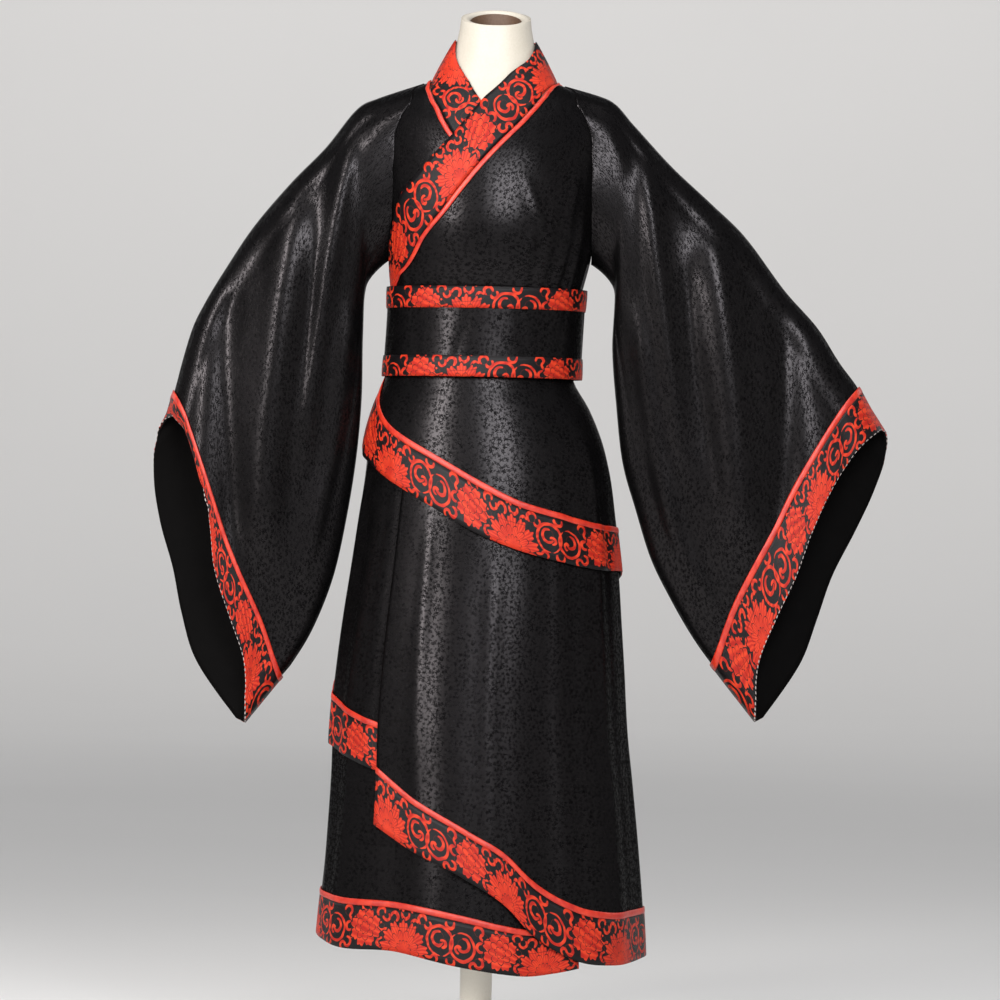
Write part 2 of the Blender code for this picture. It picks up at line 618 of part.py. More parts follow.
def turned(name, radius, low, high, sides, look, root):
    mesh = bpy.data.meshes.new(name)
    cage = bmesh.new()
    bmesh.ops.create_cone(cage, cap_ends=True, segments=sides, radius1=radius, radius2=radius,
                          depth=high - low)
    cage.to_mesh(mesh)
    cage.free()
    made = add(name, mesh, look, root)
    made.location.z = (low + high) / 2
    return made


def make_stand(root):
    made = turned("form_base", BASE_RADIUS, 0, BASE_HEIGHT, BASE_SIDES, IVORY, root)
    edge = made.modifiers.new("Edge", "BEVEL")
    edge.width = BASE_EDGE
    edge.segments = 1
    edge.limit_method = "ANGLE"
    low, high = BASE_HEIGHT + ON_STAND, FORM_LOW_Z - POLE_CLEAR
    turned("form_pole", POLE_RADIUS, low, high, POLE_SIDES, IVORY, root)


def main():
    for old in list(bpy.data.objects):
        bpy.data.objects.remove(old)
    home = bpy.data.collections.new("hanfu_robe")
    bpy.context.scene.collection.children.link(home)
    root = bpy.data.objects.new("hanfu_robe_root", None)
    home.objects.link(root)
    make_form(root)
    make_stand(root)
    make_bodice(root)
    make_collar(root)
    make_belt(root)
    make_sleeves(root)
    make_skirt(root)


main()
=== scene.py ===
"""The finished look of a black satin hanfu robe on a dress form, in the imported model's frame.

Metres, +Z up, front towards -Y. Every cloth piece is a fine grid on the same named surfaces as
its solid: the body by oval level sections, the sleeves by stations. Creases are added by tables.
"""

import functools
import math

import bpy
import numpy as np
from mathutils import Matrix, Vector

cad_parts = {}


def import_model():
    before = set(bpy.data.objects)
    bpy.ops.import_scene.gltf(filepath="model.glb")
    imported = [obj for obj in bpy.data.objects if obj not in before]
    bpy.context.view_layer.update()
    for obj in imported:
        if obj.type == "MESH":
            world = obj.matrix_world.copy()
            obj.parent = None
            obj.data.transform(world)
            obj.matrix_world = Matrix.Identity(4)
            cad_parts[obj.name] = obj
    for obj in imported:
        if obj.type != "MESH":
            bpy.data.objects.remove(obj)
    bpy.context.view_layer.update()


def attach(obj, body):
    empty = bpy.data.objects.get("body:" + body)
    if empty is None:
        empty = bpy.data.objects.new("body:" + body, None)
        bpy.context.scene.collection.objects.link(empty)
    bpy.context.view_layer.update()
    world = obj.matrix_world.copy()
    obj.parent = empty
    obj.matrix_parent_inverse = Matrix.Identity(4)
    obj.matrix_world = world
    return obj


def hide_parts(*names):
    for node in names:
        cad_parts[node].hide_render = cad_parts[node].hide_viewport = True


MM = 0.001

# Cloth, in metres
CLOTH = 0.0015
BAND_CLOTH = 0.0012
ON_TOP = 0.0008
ON_TUBE = 0.0015
LAYER = 0.004
PIPING_WIDTH = 0.008
BODICE_LIFT = 0.0012
OVER_LIFT = 0.0062
FORM_LIFT = -0.0013
FORM_SLIMMER = -0.0035
ARMHOLE_LAP = 1.2
ARMHOLE_STEP = 0.0017
ARMPIT_Z = 1190.0
SHOULDER_Z = 1451.0
BODICE_LOW_Z = 1086.0
BODICE_TOP_Z = 1454.0
SKIRT_TOP_Z = 1084.0
STRIP_WIDTH = 0.068

# Counts of the grids' rows and columns, and the skirt's steps: turns a column, metres a row
COLUMN_TURN = 1.7
ROW_HEIGHT = 0.011
PIPING_ROWS = 5
BAND_ROWS = 10
BODICE_ROWS = 90
OVER_COLUMNS = 64
UNDER_COLUMNS = 48
BACK_COLUMNS = 90
SEAM_ROWS = 110
UNDER_PIPING_ROWS = 70
NECK_COLUMNS = 80
COLLAR_COLUMNS = 11
COLLAR_BACK_COLUMNS = 100
BELT_COLUMNS = 180
PANEL_ROWS = 26
BELT_BAND_ROWS = 7
FACE_POINTS = 52
SLEEVE_ROWS = 104
CUFF_ROWS = 16
SIDES = 96

# Steps over which the body's slope is measured: turns, metres
SLOPE_TURN = 0.5
SLOPE_HEIGHT = 0.001

# How far pipings, collar strips and belt bands stand up in their middle (m)
PIPING_ROUND = 0.0006
COLLAR_ROUND = 0.0012
BELT_BAND_ROUND = 0.0006

# Skirt folds grow over a share of their start's height, and ripples fade at both ends (m)
FOLD_GROWTH = 0.75
RIPPLE_FADE_TOP = 0.16
RIPPLE_FADE_LOW = 0.22
RIPPLE_LEFT_LOW = 0.55

# Bodice creases fade over a share of their length, past their low end (mm) and by the armhole (turns)
CREASE_FADE = 0.6
CREASE_PAST = 14
CREASE_END = 26
CREASE_CLEAR = 9

# Turns past the under front's edge where the over front starts to come down, and the least it takes
OVER_DOWN_FROM = 28
OVER_DOWN_LEAST = 8

# Neck seam: half turn, rise behind, level where the back's top rises, and its piping's widths (mm)
NECK_TURN = 79
NECK_RISE = 5
NECK_RISE_FROM_Z = 1430
NECK_PIPING_SIDE = 2.6
NECK_PIPING_MORE = 5.4
UNDER_PIPING_LOW_Z = 1330.0
PIPING_MOST = 0.6

# Collar: turns and mm between strips and seams, then half turn, level and rise of its back (mm)
OVER_GAP = -0.5
UNDER_GAP = 0.25
COLLAR_UP = 0.9
COLLAR_BACK_UP = 1
COLLAR_BACK_TURN = 99.5
COLLAR_BACK_Z = 1518
COLLAR_BACK_RISE = 8

# Belt: levels (mm), how far in its panel and bands lie, and the reach of its wrinkles' lean (mm)
PANEL_TOP_Z = 1147
PANEL_LOW_Z = 1015
PANEL_IN = -0.0042
PANEL_ROUND = 0.0008
BELT_BAND_IN = -0.0021
WRINKLE_REACH = 70
BELT_BANDS = (("belt_band_bottom", 1014, 1045), ("belt_band_top", 1116, 1148))

# Flat coordinates across a band and across a belt band, as cut from the brocade (m)
BAND_SPAN = (0.0, -0.06)
BELT_SPAN = (-0.014, -0.046)

# Stretches of the skirt's wraps: name, first and last turn
INNER_STRETCHES = (("inner_wrap_front", -42, 90), ("inner_wrap_back", 90, 270),
                   ("inner_wrap_hem", 270, 397))
OUTER_STRETCHES = (("outer_wrap_front", -132, 90), ("outer_wrap_back", 90, 270),
                   ("outer_wrap_end", 270, 324))

# Sleeve: how its folds pass their ends and fade (m), its rounded edges, and its easing at the armhole
FOLD_PAST_TOP = 0.04
FOLD_FADE_TOP = 0.12
FOLD_PAST_LOW = 0.05
FOLD_FADE_LOW = 0.16
FOLD_FULL = 1.4
EDGE_ROUND = 0.1
RING_EASE = 0.45
SLEEVE_EASE = 1.5
ARMPIT_SHARE = 0.85
LAP_TOP = 0.004
LAP_LOW = 0.02
CUFF_PIPING_FROM = 8.9
CUFF_FROM = 9.06

# Oval level sections of the body under the cloth: z, half width, half depth, middle x (mm)
BODY = np.array([
    (100, 244, 201, 3), (182, 240, 195, 3), (316, 228, 182, 3), (420, 219, 171, 0),
    (476, 215, 165, -3), (592, 206, 152, -3), (652, 200, 145, -2), (724, 192, 136, 0),
    (800, 182, 128, 0), (882, 171, 119, -1), (913, 166, 114, -4), (964, 149, 104, -8),
    (1010, 127, 93, -12), (1050, 124, 91, -10), (1085, 127, 93, -7), (1120, 133, 98, -5),
    (1150, 139, 103, -3), (1190, 147, 112, -1), (1250, 156, 119, 0), (1300, 162, 115, 0),
    (1350, 166, 104, 0), (1380, 166, 94, 0), (1400, 163, 86, 0), (1415, 157, 79, 0),
    (1430, 145, 71, 0), (1440, 129, 66, 0), (1448, 110, 62, 0), (1456, 91, 59, 0),
    (1470, 76, 57, 0), (1490, 67, 56, 0), (1507, 62, 55, 0), (1540, 55, 52, 0),
    (1575, 52, 50, 0),
]).T * MM

# Soft vertical skirt folds: turn, width in turns, height at the hem (mm), z where it starts
SKIRT_FOLDS = (
    (-62, 13, 5, 900), (-33, 9, -4, 760), (-14, 12, 5, 820), (24, 10, -5, 700),
    (47, 12, 6, 860), (74, 11, -5, 720), (112, 14, 6, 880), (143, 12, -6, 780),
    (172, 14, 7, 900), (205, 12, -6, 760), (236, 13, 6, 860), (262, 10, -4, 720),
)

# Armhole edge of the bodice, as turns each side of the front or back: z (mm), turn
ARMHOLE = np.array([
    (1190, 90), (1205, 82), (1230, 75), (1260, 69), (1300, 65), (1350, 63), (1380, 62),
    (1400, 58), (1415, 55), (1430, 57), (1440, 69), (1448, 90),
], float).T

# Edge of the over front along the collar seam: z (mm), turn
OVER_EDGE = np.array([
    (1085, -82), (1120, -78), (1152, -71), (1184, -53), (1224, -40), (1256, -28),
    (1286, -19), (1326, -7.5), (1360, 3), (1388, 12.4), (1412, 20.7), (1430, 29),
    (1440, 37), (1448, 52), (1454, 79),
], float).T

# Edge of the under front along its collar seam: z (mm), turn
UNDER_EDGE = np.array([
    (1085, 30), (1150, 27), (1184, 23), (1220, 17), (1260, 10), (1300, 1), (1340, -10),
    (1372, -21), (1392, -26), (1417, -33), (1440, -48), (1448, -60), (1454, -79),
], float).T

# Collar strips: z on the seam, then turn and z of the free edge (mm)
COLLAR_OVER = np.array([
    (1086, -98, 1086), (1152, -84, 1176), (1184, -67, 1238), (1224, -54.7, 1284),
    (1256, -42.4, 1312), (1286, -33.2, 1337), (1326, -20.4, 1373), (1360, -10.6, 1409),
    (1388, -2.5, 1436), (1412, 9.4, 1458), (1438, 29, 1478), (1448, 50, 1493),
    (1454, 79, 1516),
], float).T

COLLAR_UNDER = np.array([
    (1086, 52, 1086), (1150, 47, 1165), (1184, 42, 1208), (1220, 36, 1250),
    (1260, 28, 1298), (1300, 18, 1340), (1340, 8, 1378), (1372, -1, 1404),
    (1392, -6.8, 1423), (1417, -17.7, 1447), (1440, -39, 1470), (1448, -62, 1494),
    (1454, -79, 1519),
], float).T

# Outer wrap: turn, z of the piping's top, z of the hem, layers out (turns run on past 270)
OUTER_WRAP = np.array([
    (-132, 1060, 1000, 3), (-110, 1038, 960, 3), (-90, 1003, 913, 3), (-58, 944, 868, 3),
    (-28, 901, 824, 3), (0, 853, 775, 3), (14, 831, 757, 3), (30, 816, 743, 3),
    (54, 799, 730, 2.8), (90, 788, 724, 2.4), (135, 735, 664, 2.2), (180, 668, 594, 2),
    (225, 604, 529, 1.7), (270, 552, 476, 1.3), (300, 516, 446, 1.1), (328, 488, 416, 1),
]).T

# Inner wrap: the same columns
INNER_WRAP = np.array([
    (-42, 434, 348, 2.35), (-27, 394, 316, 2.2), (-5, 344, 272, 2), (11, 303, 227, 1.9),
    (16, 282, 204, 1.9), (28, 249, 169, 1.8), (37, 233, 153, 1.8), (50, 224, 147, 1.6),
    (65, 225, 149, 1.5), (90, 226, 154, 1.3), (135, 217, 146, 1.1), (180, 214, 144, 0.9),
    (225, 226, 158, 0.6), (270, 247, 181, 0.2), (290, 242, 173, 0), (303, 238, 165, 0),
    (330, 236, 164, 0), (355, 219, 144, 0), (368, 207, 136, 0), (377, 201, 133, 0),
    (387, 202, 137, 0), (400, 208, 146, 0),
]).T

# Belt: z, half width, half depth, middle x (mm)
BELT = np.array([
    (1014, 151.4, 119.5, -10), (1045, 150.5, 118, -9), (1116, 150.4, 117.5, -6), (1148, 151.6, 118.5, -5),
]).T * MM

# Sleeve stations: top x, top z, low x, low z, depth, lip spread, bulge (mm)
SLEEVE_RIGHT_HAND = np.array([
    (-112, 1450, -160, 1190, 110, 0, 0), (-174, 1429, -187, 1150, 104, 0, 0),
    (-206, 1411, -191, 1075, 100, 0, 4), (-250, 1354, -191, 982, 96, 0, 6),
    (-301, 1300, -197, 893, 92, 0, 8), (-355, 1234, -210, 800, 90, 0, 10),
    (-396, 1170, -228, 712, 88, 0, 12), (-427, 1117, -256, 637, 88, 4, 12),
    (-448, 1070, -285, 586, 88, 8, 12), (-471, 979, -307, 558, 88, 14, 14),
    (-473, 948, -361, 492, 92, 39, 20),
], float).T * MM

SLEEVE_LEFT_HAND = np.array([
    (112, 1450, 160, 1190, 110, 0, 0), (173, 1433, 187, 1150, 104, 0, 0),
    (210, 1396, 186, 1062, 100, 0, 4), (267, 1336, 194, 975, 96, 0, 6),
    (327, 1282, 205, 892, 92, 0, 6), (380, 1232, 226, 822, 90, 0, 4),
    (440, 1154, 250, 750, 88, 0, 0), (490, 1100, 280, 692, 88, 4, -4),
    (525, 1048, 314, 636, 88, 8, -6), (557, 1006, 350, 588, 88, 13, -8),
    (591, 948, 416, 509, 92, 34, -8),
], float).T * MM

# Share of a sleeve's depth and of its lip spread, from its top edge to its low edge
SLEEVE_DROP = np.array([0, 0.04, 0.1, 0.2, 0.35, 0.5, 0.65, 0.8, 0.92, 1.0])

SLEEVE_DEPTH_SHARE = np.array([0, 0.42, 0.68, 0.9, 1.0, 0.96, 0.84, 0.62, 0.36, 0.0])

LIP_SHARE = np.array([0.1, 0.5, 0.8, 1.0, 1.0, 0.85, 0.95, 0.95, 0.5, 0.1])

# Camera: aim, roll in degrees, distance, lens and sensor in mm, and how far it sees
CAMERA_AIM = (0.021, 0.0, 0.832)
CAMERA_ROLL = 1.2
CAMERA_AWAY = 9.0
CAMERA_LENS = 216.0
CAMERA_SENSOR = 36
CAMERA_REACH = 60

# The floor is a wide flat dish with a low wall (m), a faint glow and a pale sky
FLOOR_REACH = 15.0
FLOOR_CURVE = 5.0
FLOOR_WALL = 4.0
FLOOR_STEPS = 16
FLOOR_GLOW = (1.0, 0.99, 0.98, 1)
GLOW_STRENGTH = 0.22
SKY_COLOUR = (0.93, 0.95, 1.0, 1)
SKY_STRENGTH = 0.22

# Studio lights: name, place, aim, size, power, spread in degrees, colour
LIGHTS = (
    ("key", (-2.0, -2.9, 2.2), (-0.05, 0, 0.85), (0.55, 2.2), 140, 180, (1.0, 0.98, 0.96)),
    ("front", (0.6, -3.2, 2.2), (0, 0, 1.0), (1.2, 1.6), 100, 180, (0.96, 0.98, 1.0)),
    ("top", (0.0, -0.8, 3.4), (0, 0, 0.9), (1.6, 1.2), 30, 180, (1.0, 1.0, 1.0)),
    ("rim_left", (-2.4, 1.4, 1.9), (0, 0, 0.9), (0.7, 2.2), 12, 180, (1.0, 1.0, 1.0)),
    ("rim_right", (2.4, 1.4, 1.9), (0, 0, 0.9), (0.7, 2.2), 12, 180, (1.0, 1.0, 1.0)),
    ("wall_left", (-5.0, 5.0, 3.0), (-1.0, 17.0, 5.0), (4.0, 4.0), 130, 80, (1.0, 0.99, 0.98)),
    ("wall_right", (5.0, 5.0, 3.0), (1.0, 17.0, 5.0), (4.0, 4.0), 130, 80, (1.0, 0.99, 0.98)),
)

# Sleeve folds: top x, top z, middle x, middle z, low x, low z, width, height, face (mm)
FOLDS_RIGHT_HAND = (
    (-214, 1385, -236, 1220, -286, 860, 16, 9, -1), (-206, 1120, -222, 960, -262, 700, 14, 7, -1),
    (-296, 1290, -316, 1060, -338, 720, 30, 13, -1), (-384, 1160, -392, 1000, -368, 720, 24, -9, -1),
    (-250, 860, -262, 780, -290, 640, 16, 6, -1), (-262, 1180, -276, 1000, -300, 800, 12, -5, -1),
    (-236, 1345, -252, 1150, -290, 760, 22, 10, 1), (-312, 1270, -330, 1050, -344, 720, 30, 12, 1),
    (-384, 1160, -396, 1000, -380, 760, 24, -8, 1),
)
FOLDS_LEFT_HAND = (
    (226, 1376, 246, 1200, 292, 880, 16, 9, -1), (222, 1120, 244, 960, 300, 720, 14, 7, -1),
    (330, 1270, 356, 1050, 384, 760, 30, 13, -1), (436, 1130, 446, 980, 440, 760, 24, -9, -1),
    (250, 900, 276, 800, 352, 650, 16, 6, -1), (290, 1200, 310, 1040, 346, 840, 12, -5, -1),
    (240, 1350, 262, 1150, 300, 760, 22, 10, 1), (340, 1252, 366, 1040, 386, 740, 30, 12, 1),
    (446, 1120, 456, 970, 470, 790, 24, -8, 1),
)

# Small ripples of the skirt: turn, width in turns, height (mm), top z, low z, lean (turns a metre)
SKIRT_RIPPLES = (
    (-80, 4.0, 2.4, 1000, 300, 6), (-49, 3.2, 2.0, 960, 420, 4), (-24, 3.0, 1.6, 860, 330, -4),
    (3, 3.4, 1.8, 800, 260, 3), (31, 3.6, 2.2, 930, 220, 5), (38, 2.6, -1.6, 900, 180, 6),
    (57, 3.2, 2.4, 980, 160, 2), (66, 2.8, -1.8, 900, 200, -2), (84, 3.6, 2.2, 960, 220, -3),
    (98, 3.4, -2.0, 940, 200, 2), (124, 4.0, 2.4, 990, 210, 3), (133, 3.0, -1.8, 900, 190, 4),
    (158, 3.8, 2.2, 960, 220, -3), (186, 3.6, 2.6, 980, 200, 4), (193, 2.8, -2.0, 900, 240, 2),
    (222, 4.0, 2.2, 960, 220, -4), (249, 3.4, 2.4, 980, 260, 3), (256, 2.8, -1.8, 900, 220, 3),
    (284, 3.8, 2.2, 940, 240, -4), (292, 3.0, -1.6, 880, 200, 2),
)

# Creases of the bodice: turn and z of the top, turn and z of the low end, width (mm), height (mm)
BODICE_CREASES = (
    (24, 1250, 20, 1140, 7, 2.6), (36, 1290, 30, 1140, 8, 3.0), (47, 1260, 42, 1140, 7, 2.6),
    (60, 1300, 55, 1140, 9, 3.2), (74, 1270, 68, 1140, 8, 2.6), (52, 1360, 44, 1240, 9, 2.0),
    (-66, 1290, -58, 1140, 8, 2.6), (-78, 1260, -72, 1140, 8, 2.4), (14, 1330, 30, 1230, 8, 1.6),
    (104, 1290, 110, 1140, 9, 2.8), (128, 1270, 132, 1140, 8, 2.6), (150, 1330, 152, 1140, 9, 3.0),
    (171, 1290, 170, 1140, 8, 2.4), (196, 1320, 194, 1140, 9, 2.8), (219, 1280, 214, 1140, 8, 2.6),
    (244, 1300, 238, 1140, 9, 2.8), (262, 1260, 258, 1140, 8, 2.4),
)

# Wrinkles across the belt's satin panel: turn, lean (turns over its height), width (turns), depth (mm)
BELT_WRINKLES = (
    (-70, 6, 3.0, -0.8), (-44, -5, 2.4, -0.7), (-12, 7, 2.6, -0.7), (22, -6, 2.2, -0.6),
    (51, 5, 2.6, -0.8), (83, -5, 2.8, -0.7), (120, 6, 3.0, -0.8), (161, -6, 2.6, -0.7),
    (199, 5, 2.8, -0.8), (238, -6, 3.0, -0.7), (271, 5, 2.6, -0.7),
)

FORM_LOW_Z = 0.805
FORM_LEVELS = np.concatenate([np.linspace(0.82, 1.38, 36), np.linspace(1.39, 1.54, 44)])
FORM_SLIM_Z = 1.32
FORM_SLIM_REACH = 0.1
FORM_FOOT_IN = -0.014
FOOT_SHARE = 0.8
FOOT_RISE = 0.004
NECK_TOP_Z = 1.555
NECK_SLANT = 0.015
NECK_STEPS = 5
NECK_WALL = 0.0135
RIM_RISE = 0.45
RIM_STEPS = 9
NECK_WELL = 0.055
WELL_SHARES = (0.3, 0.7, 1.0)

# Radius and height along the pole and the base (m), and the angle that stays a sharp edge
POLE_PROFILE = ((0.024, 0.0123), (0.024, 0.8047))
BASE_PROFILE = ((0.187, 0.0), (0.19, 0.001), (0.19, 0.009), (0.1892, 0.0108), (0.187, 0.012))
SHARP_ANGLE = 40


def smooth(table_x, table_y, x):
    """Cubic interpolation through a table with rising x, flat past its ends."""
    table_x = np.asarray(table_x, float)
    table_y = np.asarray(table_y, float)
    slopes = np.gradient(table_y, table_x)
    x = np.clip(x, table_x[0], table_x[-1])
    k = np.clip(np.searchsorted(table_x, x) - 1, 0, len(table_x) - 2)
    step = table_x[k + 1] - table_x[k]
    t = (x - table_x[k]) / step
    return ((2 * t**3 - 3 * t**2 + 1) * table_y[k] + (t**3 - 2 * t**2 + t) * step * slopes[k]
            + (3 * t**2 - 2 * t**3) * table_y[k + 1] + (t**3 - t**2) * step * slopes[k + 1])


def ease(t):
    t = np.clip(t, 0, 1)
    return t * t * (3 - 2 * t)


def body_point(turn, z, lift=0.0):
    """A point on the body's oval section at height z, moved out along the surface normal."""
    turn, z, lift = np.broadcast_arrays(np.asarray(turn, float), np.asarray(z, float),
                                        np.asarray(lift, float))

    def bare(turn, z):
        angle = np.radians(turn)
        x = smooth(BODY[0], BODY[3], z) + smooth(BODY[0], BODY[1], z) * np.sin(angle)
        y = -smooth(BODY[0], BODY[2], z) * np.cos(angle)
        return np.stack([x, y, z], -1)

    around = bare(turn + SLOPE_TURN, z) - bare(turn - SLOPE_TURN, z)
    upward = bare(turn, z + SLOPE_HEIGHT) - bare(turn, z - SLOPE_HEIGHT)
    normal = np.cross(around, upward)
    normal /= np.linalg.norm(normal, axis=-1, keepdims=True)
    return bare(turn, z) + normal * lift[..., None]


def turn_away(turn, centre):
    return (turn - centre + 180) % 360 - 180


def degree_width(level):
    """How far one degree of turn reaches across at the front of the body."""
    return smooth(BODY[0], BODY[1], level * MM) * math.radians(1)


def behind(turn):
    """0 at the sides, 1 at the middle of the back."""
    return np.sin(np.radians(turn - 90)) ** 2


def skirt_fold(turn, z):
    """How far the soft skirt folds and the small ripples move the cloth out."""
    out = np.zeros(np.broadcast(turn, z).shape)
    for centre, width, height, start in SKIRT_FOLDS:
        share = ease((start * MM - z) / (FOLD_GROWTH * start * MM))
        out = out + height * MM * share * np.exp(-(turn_away(turn, centre) / width) ** 2)
    for centre, width, height, top, low, lean in SKIRT_RIPPLES:
        above = z - low * MM
        fade = ease((top * MM - z) / RIPPLE_FADE_TOP) * ease(above / RIPPLE_FADE_LOW + RIPPLE_LEFT_LOW)
        away = turn_away(turn, centre + lean * above)
        out = out + height * MM * fade * np.exp(-(away / width) ** 2)
    return out


def bodice_crease(turn, level):
    """Outward lift of the bodice's gathers, which run up from under the belt."""
    out = np.zeros(np.broadcast(turn, level).shape)
    for top_turn, top, low_turn, low, width, height in BODICE_CREASES:
        along = np.clip((level - low) / (top - low), 0, 1)
        centre = low_turn + (top_turn - low_turn) * along
        away = turn_away(turn, centre) * degree_width(level)
        fade = ease((top - level) / (CREASE_FADE * (top - low)))
        fade = fade * ease((level - low + CREASE_PAST) / CREASE_END)
        out = out + height * MM * fade * np.exp(-(away / (width * MM)) ** 2)
    return out


def around_closed(grid, closed):
    return np.concatenate([grid, grid[:, :1]], 1) if closed else grid


def face_crosses(grid):
    return np.cross(grid[1:, 1:] - grid[:-1, :-1], grid[:-1, 1:] - grid[1:, :-1])


def normals(grid, closed):
    """Outward normals at a grid's points, each the mean of the faces round it."""
    grid = around_closed(grid, closed)
    faces = face_crosses(grid)
    faces /= np.linalg.norm(faces, axis=-1, keepdims=True) + 1e-12
    out = np.zeros(grid.shape)
    for i in (0, 1):
        for j in (0, 1):
            out[i:grid.shape[0] - 1 + i, j:grid.shape[1] - 1 + j] += faces
    if closed:
        out[:, 0] += out[:, -1]
        out = out[:, :-1]
    return out / np.linalg.norm(out, axis=-1, keepdims=True)


def raised(grid, amount, closed=False):
    """A grid moved out along its normals, by one amount or by one for each row or column."""
    return grid + normals(grid, closed) * np.asarray(amount, float)[..., None]


def lengths(grid, axis, closed=False):
    """Distances along one axis of a grid, summed from its start."""
    steps = np.linalg.norm(np.diff(around_closed(grid, closed), axis=axis), axis=-1)
    start = np.zeros_like(np.take(steps, [0], axis=axis))
    return np.concatenate([start, np.cumsum(steps, axis=axis)], axis=axis)


def middle_length(grid, closed):
    """Metres along the columns, measured on the middle row."""
    along = lengths(grid, 1, closed)
    return along[along.shape[0] // 2][None, :]


def cloth_map(grid, closed=False, start=0.0):
    """Flat coordinates in metres, across and down."""
    down = lengths(around_closed(grid, closed), 0)
    return np.stack(np.broadcast_arrays(middle_length(grid, closed) + start, -down), -1)


def band_map(grid, start=0.0, closed=False, span=BAND_SPAN):
    """Flat coordinates of a band: metres along it, and its share of the brocade's width."""
    share = np.linspace(*span, grid.shape[0])[:, None]
    return np.stack(np.broadcast_arrays(middle_length(grid, closed) + start, share), -1)


def across_map(grid):
    """Flat coordinates of a strip whose length runs down its rows."""
    return cloth_map(grid.transpose(1, 0, 2)).transpose(1, 0, 2)


def piping_lift(share):
    """Lift of a piping over its cloth, rounded from edge to edge."""
    return CLOTH + ON_TOP + PIPING_ROUND * np.sin(math.pi * share)


PIECES = {}
LOOKS = {}


def added(name, mesh, nodes):
    """An object from a mesh, with the nodes that it replaces."""
    mesh.shade_smooth()
    made = bpy.data.objects.new(name, mesh)
    bpy.context.scene.collection.objects.link(made)
    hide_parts(*nodes)
    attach(made, "root")
    return made


def sheet(name, grid, look, nodes, thickness=CLOTH, closed=False, flat_map=None, held="draped",
          rests_on=("form_torso_skin",), on=None, inside=None):
    """A fine grid of cloth with a thin wall, its flat coordinates, and what it stands for."""
    rows, columns = grid.shape[:2]
    flat_map = cloth_map(grid, closed) if flat_map is None else flat_map
    i, j = np.meshgrid(np.arange(rows - 1), np.arange(columns if closed else columns - 1), indexing="ij")
    i, j = i.ravel(), j.ravel()
    right = (j + 1) % columns
    faces = np.stack([i * columns + j, (i + 1) * columns + j, (i + 1) * columns + right,
                      i * columns + right], -1)
    mesh = bpy.data.meshes.new(name)
    mesh.from_pydata(grid.reshape(-1, 3).tolist(), [], faces.tolist())
    layer = mesh.uv_layers.new(name="cloth")
    corners = np.stack([flat_map[i, j], flat_map[i + 1, j], flat_map[i + 1, j + 1],
                        flat_map[i, j + 1]], 1)
    layer.data.foreach_set("uv", corners.reshape(-1).astype(np.float32))
    mesh.materials.append(LOOKS[look])
    made = added(name, mesh, nodes)
    wall = made.modifiers.new("Wall", "SOLIDIFY")
    wall.thickness = thickness
    wall.offset = 1.0
    if inside is not None:
        mesh.materials.append(LOOKS[inside])
        wall.material_offset = 1
    width = float(lengths(grid, 1, closed)[:, -1].max())
    length = float(lengths(grid, 0).max())
    area = float(np.linalg.norm(face_crosses(around_closed(grid, closed)), axis=-1).sum() / 2)
    PIECES[name] = (made, width, length, area, held, rests_on, on)


def declare_sheets():
    """Goes through the sheets that lie on no other, gathers the pipings on each and works out a flat width
    and area, but keeps none of it.
    """
    for name, (made, width, length, area, held, rests_on, on) in PIECES.items():
        if on is not None:
            continue
        going = [other[0] for other in PIECES.values() if other[6] == name]
        width *= max(area / (width * length), 1)
        min(area, width * length)


def wrap_point(wrap, turns, z):
    lift = smooth(wrap[0], wrap[3], turns) * LAYER + CLOTH + skirt_fold(turns, z)
    return body_point(turns, z, lift)


def skirt_stretch(name, wrap, first, last, start):
    """A stretch of skirt wrap: the panel, its piping and its brocade band."""
    columns = int(round(abs(last - first) / COLUMN_TURN)) + 2
    turns = np.linspace(first, last, columns)[None, :]
    top = smooth(wrap[0], wrap[1], turns) * MM
    low = smooth(wrap[0], wrap[2], turns) * MM
    width = PIPING_WIDTH * (top - low) / STRIP_WIDTH
    waist = SKIRT_TOP_Z * MM
    rows = int(float((waist - low).max()) / ROW_HEIGHT) + 2
    panel = wrap_point(wrap, turns, waist + (low - waist) * np.linspace(0, 1, rows)[:, None])
    base = name + "_cloth"
    sheet(base, panel, "satin", [name], held="hung", rests_on=("belt_cloth",))
    share = np.linspace(0, 1, PIPING_ROWS)[:, None]
    piping = raised(wrap_point(wrap, turns, top - width * share), piping_lift(share))
    sheet(name + "_piping_cloth", piping, "piping", [name + "_piping"], on=name + "_band_cloth",
          flat_map=cloth_map(piping, start=start))
    share = np.linspace(0, 1, BAND_ROWS)[:, None]
    band_top = top - width
    band = raised(wrap_point(wrap, turns, band_top + (low - band_top) * share), CLOTH + ON_TOP)
    sheet(name + "_band_cloth", band, "brocade", [name + "_band"], BAND_CLOTH, held="laid",
          rests_on=(base,), flat_map=band_map(band, start))
    return start + float(middle_length(band, False)[0, -1])


def make_skirt():
    for wrap, stretches in ((INNER_WRAP, INNER_STRETCHES), (OUTER_WRAP, OUTER_STRETCHES)):
        start = 0.0
        for name, first, last in stretches:
            start = skirt_stretch(name, wrap, first, last, start)


def armhole_turn(level):
    return smooth(ARMHOLE[0], ARMHOLE[1], level)


def over_lift(turn, level):
    """The over front lies on the under front, and comes down to the form at the shoulder."""
    under = smooth(UNDER_EDGE[0], UNDER_EDGE[1], level) + OVER_DOWN_FROM
    side = np.maximum(armhole_turn(level), under + OVER_DOWN_LEAST)
    share = ease((side - turn) / (side - under))
    return BODICE_LIFT + (OVER_LIFT - BODICE_LIFT) * share


def flat_lift(turn, level):
    return np.full(np.broadcast(turn, level).shape, BODICE_LIFT)


